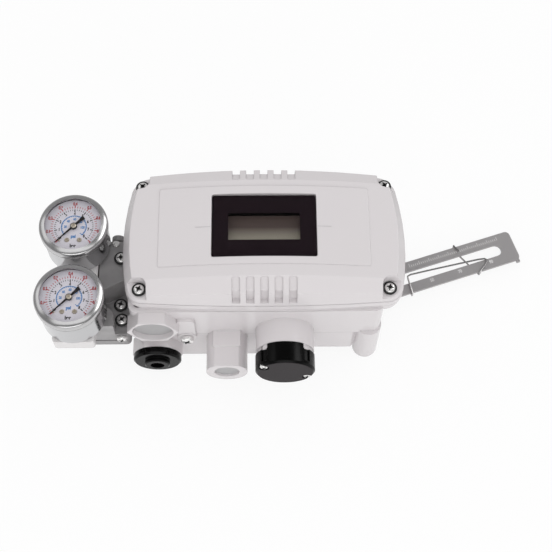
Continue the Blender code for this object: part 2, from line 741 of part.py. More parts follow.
def make_housing():
    """Die-cast housing: one tub with a rim, deeper towards the cable entries, and all its bosses."""
    housing = add_part("housing_body", rim_shape(RIM_STEP, RIM_LOW, RIM_TOP - RIM_STEP_HEIGHT + 0.001), PAINT)
    join_to(housing, add_tool("rim_band", rim_shape(0, RIM_TOP - RIM_STEP_HEIGHT, RIM_TOP)))
    join_to(housing, add_tool("shallow_box", box_shape(0, SHALLOW_BACK, RIM_LOW + 0.003)))
    whole, deepest = deep_outlines(0, DEEP_CHAMFER)
    join_to(housing, add_tool("deep_box", flat_part([whole], DEEP_BACK, SHALLOW_BACK + 0.006)))
    join_to(housing, add_tool("deepest_box", flat_part([deepest], 0, DEEP_BACK + 0.002)))
    add_outer_bosses(housing)
    hollow_housing(housing)
    add_inner_bosses(housing)
    drill_housing(housing)
    return housing


def along_y(outline, low_y, high_y, centre):
    """A bar along Y with the given outline across it, its middle at (x, z)."""
    shape = flat_part([outline], -high_y, -low_y)
    bmesh.ops.rotate(shape, matrix=Matrix.Rotation(math.radians(90), 3, "X"), verts=shape.verts)
    bmesh.ops.translate(shape, vec=(centre[0], 0, centre[1]), verts=shape.verts)
    return shape


def hexagon(flat, radius):
    """A hexagon with a flat on top, half as wide as flat across it, its corners trimmed by a circle."""
    half = math.degrees(math.acos(flat / radius))
    points = []
    for normal in range(90, 450, 60):
        points += arc((0, 0), radius, normal - half, normal + half, 1)
    return points


def add_outer_bosses(housing):
    wall_y = -BOX_HALF_HEIGHT + 0.004
    entry = hexagon(ENTRY_FLAT, ENTRY_RADIUS)
    pad_y = -BOX_HALF_HEIGHT - EARTH_PAD_PROUD
    plate_z = AUX_Z + AUX_FLAT + AUX_PLATE_PROUD
    shapes = (
        ("entry_front_boss", along_y(entry, ENTRY_FACE_Y, wall_y, (ENTRY_X, ENTRY_FRONT_Z))),
        ("entry_rear_boss", along_y(entry, ENTRY_FACE_Y, wall_y, (ENTRY_X, ENTRY_REAR_Z))),
        ("aux_boss", rod(AUX_RADIUS, AUX_FACE_Y, wall_y, FINE, "Y", (AUX_X, AUX_Z))),
        ("vent_neck", rod(VENT_RADIUS, VENT_NECK_Y, wall_y, FINE, "Y", (VENT_X, VENT_Z))),
        ("vent_step", rod(VENT_STEP_RADIUS, VENT_NECK_Y - VENT_STEP, wall_y, FINE, "Y", (VENT_X, VENT_Z))),
        ("earth_pad", block((EARTH_X - EARTH_PAD_WIDTH / 2, pad_y + 0.0006, EARTH_Z),
                            (EARTH_X + EARTH_PAD_WIDTH / 2, wall_y, EARTH_PAD_TOP), 0.003, 1, 3)),
        ("earth_boss", rod(EARTH_PAD_RADIUS, pad_y, wall_y, MEDIUM, "Y", (EARTH_X, EARTH_Z))),
        ("shaft_boss", rod(SHAFT_BOSS_RADIUS, SHAFT_BOSS_END, SHALLOW_BACK + 0.002, MEDIUM,
                           centre=(SHAFT_X, SHAFT_Y))),
    )
    for name, shape in shapes:
        join_to(housing, add_tool(name, shape))
    flat_z = AUX_Z + AUX_FLAT
    cut_from(housing, add_tool("aux_flat", block((AUX_X - AUX_RADIUS, AUX_FACE_Y - 0.001, flat_z),
                                                 (AUX_X + AUX_RADIUS, -BOX_HALF_HEIGHT - 0.0005, flat_z + 0.006))))
    join_to(housing, add_tool("aux_plate", block((AUX_X - AUX_PLATE_WIDTH / 2, AUX_PLATE_Y, AUX_Z),
                                                 (AUX_X + AUX_PLATE_WIDTH / 2, wall_y, plate_z))))
    for sign in (-1, 1):
        join_to(housing, add_tool(f"mount_boss_{sign}",
                                  rod(MOUNT_BOSS_RADIUS, 0, SHALLOW_BACK + 0.002, MEDIUM,
                                      centre=(MOUNT_RIGHT_X, sign * MOUNT_HALF_HEIGHT))))


def hollow_housing(housing):
    """The inside of the tub: wide under the lid, then the box and its three deeper stretches."""
    cut_from(housing, add_tool("rim_inside",
                               bulged_block(LID_HALF_WIDTH - LID_SEAT_WIDTH, LID_HALF_HEIGHT - LID_SEAT_WIDTH,
                                            RIM_LOW + 0.004, RIM_TOP + 0.002, LID_SEAT_CORNER,
                                            (SIDE_BULGE, END_BULGE), taper=LID_TAPER)))
    cut_from(housing, add_tool("box_inside", box_shape(WALL, SHALLOW_BACK + WALL, RIM_TOP - 0.003)))
    whole, deepest = deep_outlines(WALL, DEEP_CHAMFER - 0.6 * WALL)
    cut_from(housing, add_tool("deep_inside", flat_part([whole], DEEP_BACK + WALL, SHALLOW_BACK + 0.006)))
    cut_from(housing, add_tool("deepest_inside", flat_part([deepest], WALL, DEEP_BACK + WALL + 0.002)))


def pillar_places():
    places = []
    for x in (BOARD_LEFT + PILLAR_INSET, BOARD_RIGHT - PILLAR_INSET):
        for sign in (-1, 1):
            places.append((x, sign * (BOARD_HALF_HEIGHT - PILLAR_INSET)))
    return places


def add_inner_bosses(housing):
    for number, (x, y) in enumerate(pillar_places(), 1):
        floor = WALL / 2 if x < 0 else SHALLOW_BACK + WALL / 2
        join_to(housing, add_tool(f"board_pillar_{number}",
                                  rod(PILLAR_RADIUS, floor, BOARD_LOW - GAP, COARSE, centre=(x, y))))
    for number, (x, y, sx, sy) in enumerate(corner_places(), 1):
        low = LID_POCKET_FLOOR - LID_SCREW_LENGTH - GAP - WALL
        join_to(housing, add_tool(f"lid_screw_boss_{number}",
                                  rod(LID_POCKET_RADIUS, low, RIM_TOP, COARSE, centre=(x, y))))
    for sign in (-1, 1):
        join_to(housing, add_tool(f"mount_inner_boss_{sign}",
                                  rod(MOUNT_BOSS_RADIUS, WALL / 2, MOUNT_HOLE_DEPTH + WALL, COARSE,
                                      centre=(MOUNT_LEFT_X, sign * MOUNT_LEFT_HALF_HEIGHT))))


def drill_housing(housing):
    """Bores, recesses, screw holes and the gasket groove."""
    bush_radius = SHAFT_RADIUS + GAP + BUSH_WALL
    groove = flat_part([ring_outline(GASKET_INSET - GAP, GASKET_CORNER),
                        ring_outline(GASKET_INSET + GASKET_WIDTH + GAP, GASKET_CORNER - GASKET_WIDTH)],
                       RIM_TOP - GASKET_GROOVE_DEPTH, RIM_TOP + 0.001)
    holes = [
        ("gasket_groove", groove),
        ("shaft_bore", rod(bush_radius + GAP, 0.005, SHALLOW_BACK + 0.010, MEDIUM, centre=(SHAFT_X, SHAFT_Y))),
        ("aux_recess", rod(AUX_RECESS_RADIUS, AUX_FACE_Y - 0.001, AUX_FACE_Y + 0.0016, MEDIUM, "Y",
                           (AUX_X, AUX_Z))),
        ("aux_bore", rod(AUX_BORE_RADIUS, AUX_FACE_Y - 0.002, -BOX_HALF_HEIGHT + 0.010, MEDIUM, "Y",
                         (AUX_X, AUX_Z))),
        ("vent_bore", rod(VENT_BORE_RADIUS, VENT_NECK_Y - VENT_STEP - 0.001, VENT_NECK_Y + 0.010, MEDIUM, "Y",
                          (VENT_X, VENT_Z))),
        ("vent_channel", rod(0.0030, VENT_NECK_Y, -BOX_HALF_HEIGHT + 0.010, COARSE, "Y", (VENT_X, VENT_Z))),
        ("earth_hole", rod(SCREW_SHANK + GAP, -BOX_HALF_HEIGHT - EARTH_PAD_PROUD - 0.001,
                           -BOX_HALF_HEIGHT + 0.012, COARSE, "Y", (EARTH_X, EARTH_Z))),
    ]
    for label, z in (("front", ENTRY_FRONT_Z), ("rear", ENTRY_REAR_Z)):
        holes.append((f"entry_{label}_recess", rod(ENTRY_RECESS_RADIUS, ENTRY_FACE_Y - 0.001,
                                                   ENTRY_FACE_Y + ENTRY_RECESS_DEPTH, MEDIUM, "Y", (ENTRY_X, z))))
        holes.append((f"entry_{label}_bore", rod(ENTRY_BORE_RADIUS, ENTRY_FACE_Y - 0.002,
                                                 -BOX_HALF_HEIGHT + 0.010, MEDIUM, "Y", (ENTRY_X, z))))
    for number, (x, y, sx, sy) in enumerate(corner_places(), 1):
        holes.append((f"lid_thread_{number}", rod(LID_SCREW_SHANK + GAP, LID_POCKET_FLOOR - LID_SCREW_LENGTH - GAP,
                                                  RIM_TOP + 0.001, COARSE, centre=(x, y))))
    for number, (x, y) in enumerate(mount_places(), 1):
        holes.append((f"mount_hole_{number}", rod(MOUNT_HOLE_RADIUS, -0.001, MOUNT_HOLE_DEPTH, COARSE,
                                                  centre=(x, y))))
    for number, angle in enumerate(CAP_SCREW_ANGLES, 1):
        holes.append((f"cap_thread_{number}", rod(SCREW_SHANK * 0.7 + GAP, VENT_NECK_Y - VENT_STEP - 0.001,
                                                  VENT_NECK_Y + 0.008, COARSE, "Y", cap_screw_place(angle))))
    for name, shape in holes:
        cut_from(housing, add_tool(name, shape))


def mount_places():
    return [(MOUNT_RIGHT_X, -MOUNT_HALF_HEIGHT), (MOUNT_RIGHT_X, MOUNT_HALF_HEIGHT),
            (MOUNT_LEFT_X, -MOUNT_LEFT_HALF_HEIGHT), (MOUNT_LEFT_X, MOUNT_LEFT_HALF_HEIGHT)]


def cap_screw_place(angle):
    turn = math.radians(angle)
    return VENT_X + CAP_SCREW_CIRCLE * math.cos(turn), VENT_Z + CAP_SCREW_CIRCLE * math.sin(turn)


def ring_outline(inset, corner):
    """The rim's bowed outline drawn in, with rounder corners that pass inside the lid screws."""
    flat_x = LID_HALF_WIDTH - SIDE_BULGE - inset
    flat_y = LID_HALF_HEIGHT - END_BULGE - inset
    points = []
    for sx, sy, start in ((1, 1, 0), (-1, 1, 90), (-1, -1, 180), (1, -1, 270)):
        centre = (sx * (flat_x - corner), sy * (flat_y - corner))
        points += arc(centre, corner, start, start + 90, 6)
    bowed = []
    for x, y in points:
        bowed.append((x * (1 + SIDE_BULGE / flat_x * (1 - (y / flat_y) ** 2) - LID_TAPER * y),
                      y * (1 + END_BULGE / flat_y * (1 - (x / flat_x) ** 2))))
    return bowed


def make_gasket():
    """Rubber cord that lies in the rim's groove, inside the lid screws."""
    low = RIM_TOP - GASKET_GROOVE_DEPTH + GAP
    shape = flat_part([ring_outline(GASKET_INSET, GASKET_CORNER),
                       ring_outline(GASKET_INSET + GASKET_WIDTH, GASKET_CORNER - GASKET_WIDTH)],
                      low, LID_SEAT_HEIGHT - GAP)
    add_part("lid_gasket", shape, RUBBER)


def screw_profile(head_radius, head_height, shank_radius, shank_length):
    """Pan-head screw, its head standing on height 0 and its shank below."""
    return [(0, head_height), (head_radius * 0.55, head_height * 0.93), (head_radius * 0.88, head_height * 0.62),
            (head_radius, head_height * 0.2), (head_radius, 0), (shank_radius, 0),
            (shank_radius, -shank_length), (0, -shank_length)]


def add_screw(name, location, rotation=(0, 0, 0), head=SCREW_HEAD_RADIUS, height=SCREW_HEAD_HEIGHT,
              shank=SCREW_SHANK, length=SCREW_SHANK_LENGTH):
    turned_part(name, screw_profile(head, height, shank, length), CHROME, location, rotation, COARSE)


def make_lid_screws():
    for number, (x, y, sx, sy) in enumerate(corner_places(), 1):
        add_screw(f"lid_screw_{number}", (x, y, LID_POCKET_FLOOR + GAP), shank=LID_SCREW_SHANK,
                  length=LID_SCREW_LENGTH)


def make_entry_plug():
    """Black blanking plug of the rear cable entry: notched flange, raised ring and threaded shank."""
    hub = PLUG_HUB_RADIUS
    profile = [(0, 0.0012), (hub * 0.52, 0.0012), (hub * 0.55, PLUG_HUB_HEIGHT), (hub * 0.9, PLUG_HUB_HEIGHT),
               (hub, PLUG_HUB_HEIGHT - 0.0006), (hub, PLUG_FLANGE),
               (PLUG_RADIUS - 0.0012, PLUG_FLANGE), (PLUG_RADIUS, PLUG_FLANGE - 0.0012), (PLUG_RADIUS, 0),
               (ENTRY_BORE_RADIUS - GAP, 0), (ENTRY_BORE_RADIUS - GAP, -PLUG_LENGTH), (0, -PLUG_LENGTH)]
    location = (ENTRY_X, ENTRY_FACE_Y - GAP, ENTRY_REAR_Z)
    turn = (math.radians(90), 0, 0)
    plug = turned_part("entry_plug", profile, BLACK, location, turn, FINE)
    for number, angle in enumerate((60, 120, 240, 300), 1):
        turn_z = math.radians(angle)
        centre = (PLUG_RADIUS * math.cos(turn_z), PLUG_RADIUS * math.sin(turn_z))
        notch = add_tool(f"plug_notch_{number}", rod(0.0012, PLUG_FLANGE * 0.35, PLUG_FLANGE + 0.003, COARSE // 2,
                                                     centre=centre), location, turn)
        cut_from(plug, notch)


def make_vent_cap():
    """Black vent cap: a grooved drum with two screw pockets and a tongue that lies over the neck."""
    back_y = VENT_NECK_Y - VENT_STEP - GAP
    length = back_y - CAP_FACE_Y
    profile = [(0, length), (CAP_RADIUS - CAP_CHAMFER, length), (CAP_RADIUS, length - CAP_CHAMFER),
               (CAP_RADIUS, 0), (0, 0)]
    location = (VENT_X, back_y, VENT_Z)
    turn = (math.radians(90), 0, 0)
    cap = turned_part("vent_cap", profile, BLACK, location, turn, FINE)
    for number, angle in enumerate(CAP_NOTCH_ANGLES, 1):
        turn_z = math.radians(angle)
        centre = ((CAP_RADIUS + 0.0004) * math.cos(turn_z), (CAP_RADIUS + 0.0004) * math.sin(turn_z))
        groove = add_tool(f"cap_groove_{number}", rod(CAP_NOTCH_RADIUS, -0.001, length - 0.0032, COARSE // 2,
                                                      centre=centre), location, turn)
        cut_from(cap, groove)
    half = CAP_TONGUE_HALF_ANGLE
    tongue = (arc((0, 0), CAP_RADIUS, 90 - half, 90 + half, 8)
              + arc((0, 0), VENT_STEP_RADIUS + GAP, 90 + half, 90 - half, 8))
    join_to(cap, add_tool("cap_tongue", flat_part([tongue], -VENT_STEP, 0.002), location, turn))
    for number, angle in enumerate(CAP_SCREW_ANGLES, 1):
        x, z = cap_screw_place(angle)
        pocket = add_tool(f"cap_pocket_{number}", rod(CAP_POCKET_RADIUS, CAP_FACE_Y - 0.001,
                                                      CAP_FACE_Y + CAP_POCKET_DEPTH, COARSE, "Y", (x, z)))
        hole = add_tool(f"cap_hole_{number}", rod(SCREW_SHANK * 0.7 + GAP, CAP_FACE_Y - 0.001, back_y + 0.001,
                                                  COARSE, "Y", (x, z)))
        cut_from(cap, pocket)
        cut_from(cap, hole)
        add_screw(f"cap_screw_{number}", (x, CAP_FACE_Y + CAP_POCKET_DEPTH - GAP, z), turn, 0.0026, 0.0019,
                  SCREW_SHANK * 0.7, length + 0.003)


def make_earth_screw():
    y = -BOX_HALF_HEIGHT - EARTH_PAD_PROUD - GAP
    add_screw("earth_screw", (EARTH_X, y, EARTH_Z), (math.radians(90), 0, 0), 0.0042, 0.0030)


def make_shaft():
    """Main shaft: the thick end turns in the bush, the thin end carries the lever and its nut."""
    shoulder = LEVER_LOW + LEVER_THICKNESS + GAP
    tip = LEVER_LOW - WASHER_THICKNESS - 2 * GAP - NUT_HEIGHT - 0.0010
    profile = [(0, SHAFT_TOP), (SHAFT_RADIUS - 0.0006, SHAFT_TOP), (SHAFT_RADIUS, SHAFT_TOP - 0.0006),
               (SHAFT_RADIUS, shoulder), (SHAFT_TIP_RADIUS, shoulder), (SHAFT_TIP_RADIUS, tip + 0.0005),
               (SHAFT_TIP_RADIUS - 0.0005, tip), (0, tip)]
    turned_part("main_shaft", profile, CHROME, (SHAFT_X, SHAFT_Y, 0), steps=MEDIUM)
    inner = SHAFT_RADIUS + GAP
    outer = inner + BUSH_WALL
    flange_high = SHAFT_BOSS_END - GAP
    flange_low = flange_high - BUSH_FLANGE_THICKNESS
    bush_top = SHALLOW_BACK + WALL + 0.0015
    bush = [(inner, bush_top), (outer, bush_top), (outer, flange_high), (BUSH_FLANGE_RADIUS, flange_high),
            (BUSH_FLANGE_RADIUS, flange_low), (inner, flange_low)]
    turned_part("shaft_bush", bush, BRASS, (SHAFT_X, SHAFT_Y, 0), steps=MEDIUM, closed=True)


def gear_points(teeth, centre_angle, count):
    """Points along gear teeth, anticlockwise; centre_angle is the middle of a tooth or a gap, in degrees."""
    pitch_radius = GEAR_MODULE * teeth / 2
    root = pitch_radius - 1.25 * GEAR_MODULE
    tip = pitch_radius + GEAR_MODULE
    step = 360 / teeth
    points = []
    for index in range(count):
        middle = centre_angle + (index - (count - 1) / 2) * step
        for radius, share in ((root, -0.30), (pitch_radius, -0.20), (tip, -0.10),
                              (tip, 0.10), (pitch_radius, 0.20), (root, 0.30)):
            angle = math.radians(middle + share * step)
            points.append((radius * math.cos(angle), radius * math.sin(angle)))
    return points


def gear_distance():
    return GEAR_MODULE * (SECTOR_FULL_TEETH + PINION_TEETH) / 2 + GEAR_PLAY


def make_gears():
    """A toothed sector on the main shaft turns the small gear of the position sensor."""
    count = 2 * round(SECTOR_HALF_ANGLE / (360 / SECTOR_FULL_TEETH))
    middle = 180 + SECTOR_LEAD_TEETH * 360 / SECTOR_FULL_TEETH
    teeth = gear_points(SECTOR_FULL_TEETH, middle, count)
    half = count * 180 / SECTOR_FULL_TEETH
    hub = arc((0, 0), SECTOR_HUB_RADIUS, middle + half + 4, middle + 360 - half - 4, MEDIUM)
    sector = flat_part([teeth + hub, circle(SHAFT_RADIUS + GAP)], GEAR_LOW, GEAR_LOW + GEAR_THICKNESS)
    add_part("sector_gear", sector, BRASS, (SHAFT_X, SHAFT_Y, 0))
    sensor_x = SHAFT_X - gear_distance()
    pinion = flat_part([gear_points(PINION_TEETH, 180 / PINION_TEETH, PINION_TEETH)], GEAR_LOW - 0.0005,
                       GEAR_LOW + GEAR_THICKNESS + 0.0005)
    gear = add_part("sensor_gear", pinion, BRASS, (sensor_x, SHAFT_Y, 0))
    floor = DEEP_BACK + WALL + GAP
    bore_low = floor + SENSOR_HEIGHT * 0.5
    join_to(gear, add_tool("sensor_spindle", rod(SENSOR_SHAFT_RADIUS, bore_low + GAP, GEAR_LOW, COARSE),
                           (sensor_x, SHAFT_Y, 0)))
    sensor_high = floor + SENSOR_HEIGHT
    nose = GEAR_LOW - 0.0005 - GAP
    profile = [(0, bore_low), (SENSOR_SHAFT_RADIUS + GAP, bore_low), (SENSOR_SHAFT_RADIUS + GAP, nose),
               (SENSOR_SHAFT_RADIUS + 0.0020, nose), (SENSOR_SHAFT_RADIUS + 0.0020, sensor_high),
               (SENSOR_RADIUS, sensor_high), (SENSOR_RADIUS, floor), (0, floor)]
    turned_part("position_sensor", profile, BLACK, (sensor_x, SHAFT_Y, 0), steps=MEDIUM)


def lever_turn():
    return (0, 0, math.radians(LEVER_ANGLE))


def make_lever():
    """Stainless lever: a slotted strip with a round tail on the shaft and a small bent tab at its end."""
    half = LEVER_WIDTH / 2
    slot = LEVER_SLOT_WIDTH / 2
    outline = (arc((-LEVER_TAIL + half, 0), half, 90, 270, 12)
               + arc((LEVER_LENGTH - LEVER_CORNER, -half + LEVER_CORNER), LEVER_CORNER, 270, 360, 4)
               + arc((LEVER_LENGTH - LEVER_CORNER, half - LEVER_CORNER), LEVER_CORNER, 0, 90, 4))
    slot_hole = (arc((LEVER_SLOT_START + slot, 0), slot, 90, 270, 8)
                 + arc((LEVER_SLOT_END - slot, 0), slot, -90, 90, 8))
    shape = flat_part([outline, slot_hole, circle(SHAFT_TIP_RADIUS + GAP, COARSE)], LEVER_LOW,
                      LEVER_LOW + LEVER_THICKNESS)
    lever = add_part("feedback_lever", shape, STEEL, (SHAFT_X, SHAFT_Y, 0), lever_turn())
    tab = block((LEVER_LENGTH - 0.0032, -half - 0.0016, LEVER_LOW),
                (LEVER_LENGTH - 0.0010, -half + 0.0030, LEVER_LOW + LEVER_THICKNESS))
    join_to(lever, add_tool("lever_tab", tab, (SHAFT_X, SHAFT_Y, 0), lever_turn()))


def wire_route():
    """The bent wire in the lever's own frame: along it, across it and above its lower face."""
    over = LEVER_LOW + LEVER_THICKNESS + WIRE_RADIUS + GAP
    under = LEVER_LOW - WIRE_RADIUS - GAP
    outside = LEVER_WIDTH / 2 + WIRE_RADIUS + GAP
    far = WIRE_FAR_HOOK
    near = WIRE_NEAR_HOOK
    return [
        (far, 0.0070, over), (far - 0.0011, 0.0094, over), (far - 0.0018, outside, over),
        (far - 0.0017, outside, under), (far - 0.0010, 0.0094, under), (far + 0.0005, 0.0040, under),
        (far + 0.0028, -0.0015, under), (far + 0.0048, -0.0065, under), (far + 0.0066, -0.0098, under),
        (far + 0.0074, -outside, under), (far + 0.0078, -outside, over), (far + 0.0088, -0.0104, over),
        (far + 0.0121, -0.0085, over), (far + 0.0146, -0.0064, over), (far + 0.0154, -0.0050, over),
        (far + 0.0141, -0.0036, over), (far + 0.0096, -0.0028, over), (far - 0.0085, -0.0012, over),
        (near + 0.0160, 0.0002, over), (near + 0.0030, 0.0012, over), (near + 0.0007, 0.0006, over),
        (near + 0.0003, -0.0016, over), (near - 0.0001, -0.0060, over), (near - 0.0006, -outside, over),
        (near - 0.0006, -outside, under), (near - 0.0006, -0.0100, under),
    ]


def make_lever_spring():
    """Spring wire hooked over both arms of the lever, which keeps the drive pin against one side."""
    curve = bpy.data.curves.new("lever_spring", "CURVE")
    curve.dimensions = "3D"
    curve.bevel_depth = WIRE_RADIUS
    curve.bevel_resolution = 1
    curve.use_fill_caps = True
    curve.render_resolution_u = 0
    spline = curve.splines.new("POLY")
    route = wire_route()
    spline.points.add(len(route) - 1)
    for point, (x, y, z) in zip(spline.points, route):
        point.co = (x, y, z, 1)
    curve.materials.append(CHROME)
    wire = bpy.data.objects.new("lever_spring", curve)
    place(wire, (SHAFT_X, SHAFT_Y, 0), lever_turn(), None)
    PARTS.objects.link(wire)


def make_lever_fasteners():
    washer_high = LEVER_LOW - GAP
    washer_low = washer_high - WASHER_THICKNESS
    add_part("lever_washer", flat_part([circle(WASHER_RADIUS), circle(SHAFT_TIP_RADIUS + GAP, COARSE)],
                                       washer_low, washer_high), STEEL, (SHAFT_X, SHAFT_Y, 0))
    nut_high = washer_low - GAP
    corners = arc((0, 0), NUT_ACROSS_FLATS / 2 / math.cos(math.radians(30)), 0, 300, 5)
    add_part("lever_nut", flat_part([corners, circle(SHAFT_TIP_RADIUS + GAP, COARSE)], nut_high - NUT_HEIGHT,
                                    nut_high), CHROME, (SHAFT_X, SHAFT_Y, 0))


def button_places():
    return [((index - (BUTTON_COUNT - 1) / 2) * BUTTON_PITCH, BUTTON_Y) for index in range(BUTTON_COUNT)]


def make_board():
    """Circuit board on the four pillars, with the switch bodies of the push-buttons on it."""
    board = add_part("circuit_board", block((BOARD_LEFT, -BOARD_HALF_HEIGHT, BOARD_LOW),
                                            (BOARD_RIGHT, BOARD_HALF_HEIGHT, BOARD_LOW + BOARD_THICKNESS),
                                            0.003, segments=2), BOARD)
    top = BOARD_LOW + BOARD_THICKNESS
    for number, (x, y) in enumerate(button_places(), 1):
        half = SWITCH_SIZE / 2
        join_to(board, add_tool(f"switch_body_{number}", block((x - half, y - half, top - 0.0005),
                                                               (x + half, y + half, top + SWITCH_HEIGHT))))
        cut_from(board, add_tool(f"switch_bore_{number}", rod(BUTTON_STEM_RADIUS + GAP, top + 0.0002,
                                                              top + SWITCH_HEIGHT + 0.001, COARSE, centre=(x, y))))
        stem_low = top + 0.0002 + GAP + BUTTON_TRAVEL
        cap_low = top + SWITCH_HEIGHT + GAP + BUTTON_TRAVEL
        cap_high = cap_low + 0.0022
        profile = [(0, cap_high), (BUTTON_RADIUS - 0.0004, cap_high), (BUTTON_RADIUS, cap_high - 0.0004),
                   (BUTTON_RADIUS, cap_low), (BUTTON_STEM_RADIUS, cap_low), (BUTTON_STEM_RADIUS, stem_low),
                   (0, stem_low)]
        turned_part(f"push_button_{number}", profile, BLACK, (x, y, 0), steps=COARSE)


def make_terminal_block():
    """Six-way terminal block on the board above the cable entries."""
    low = BOARD_LOW + BOARD_THICKNESS + GAP
    x = BOARD_LEFT + 0.0140
    body = add_part("terminal_block", block((x - TERMINAL_WIDTH / 2, -TERMINAL_LENGTH / 2, low),
                                            (x + TERMINAL_WIDTH / 2, TERMINAL_LENGTH / 2, low + TERMINAL_HEIGHT)),
                    TERMINAL)
    pitch = TERMINAL_LENGTH / TERMINAL_WAYS
    for way in range(TERMINAL_WAYS):
        y = (way - (TERMINAL_WAYS - 1) / 2) * pitch
        cut_from(body, add_tool(f"terminal_well_{way}", rod(0.0022, low + TERMINAL_HEIGHT - 0.003,
                                                            low + TERMINAL_HEIGHT + 0.001, COARSE // 2,
                                                            centre=(x, y))))


def make_torque_motor():
    """Torque motor on the floor: a U-shaped yoke, the coil, the swinging armature and the nozzle."""
    floor = WALL + GAP
    half_width = MOTOR_WIDTH / 2
    half_length = MOTOR_LENGTH / 2
    yoke = add_part("motor_yoke", block((-half_width, -half_length, floor),
                                        (half_width, half_length, floor + MOTOR_HEIGHT)), STEEL,
                    (MOTOR_X, MOTOR_Y, 0))
    channel = block((-half_width + MOTOR_PLATE, -half_length - 0.001, floor + MOTOR_PLATE),
                    (half_width - MOTOR_PLATE, half_length + 0.001, floor + MOTOR_HEIGHT + 0.001))
    cut_from(yoke, add_tool("yoke_channel", channel, (MOTOR_X, MOTOR_Y, 0)))
    coil_low = floor + MOTOR_PLATE + GAP
    coil = [(COIL_BORE, coil_low + COIL_HEIGHT), (COIL_RADIUS, coil_low + COIL_HEIGHT), (COIL_RADIUS, coil_low),
            (COIL_BORE, coil_low)]
    turned_part("motor_coil", coil, COPPER, (MOTOR_X, MOTOR_Y, 0), steps=MEDIUM, closed=True)
    pivot = coil_low + 0.0020
    armature = block((-ARMATURE_HALF_THICKNESS, -ARMATURE_HALF_WIDTH, -0.0018),
                     (ARMATURE_HALF_THICKNESS, ARMATURE_HALF_WIDTH, ARMATURE_LENGTH))
    add_part("armature", armature, STEEL, (MOTOR_X, MOTOR_Y, pivot))
    top = floor + MOTOR_HEIGHT + GAP
    nozzle_z = pivot + ARMATURE_LENGTH - 0.005
    bracket = add_part("nozzle", block((half_width - MOTOR_PLATE, -0.005, top),
                                       (half_width + 0.0020, 0.005, nozzle_z + 0.005)), BRASS,
                       (MOTOR_X, MOTOR_Y, 0))
    tip = rod(NOZZLE_RADIUS * 0.5, ARMATURE_HALF_THICKNESS + NOZZLE_GAP, half_width - MOTOR_PLATE + 0.001, COARSE,
              "X", (0, nozzle_z), NOZZLE_RADIUS)
    join_to(bracket, add_tool("nozzle_tip", tip, (MOTOR_X, MOTOR_Y, 0)))


def pilot_left():
    return GAUGE_X - GAUGE_BLOCK_HALF_WIDTH


def gauge_block_low():
    return GAUGE_BLOCK_HIGH - GAUGE_BLOCK_THICKNESS


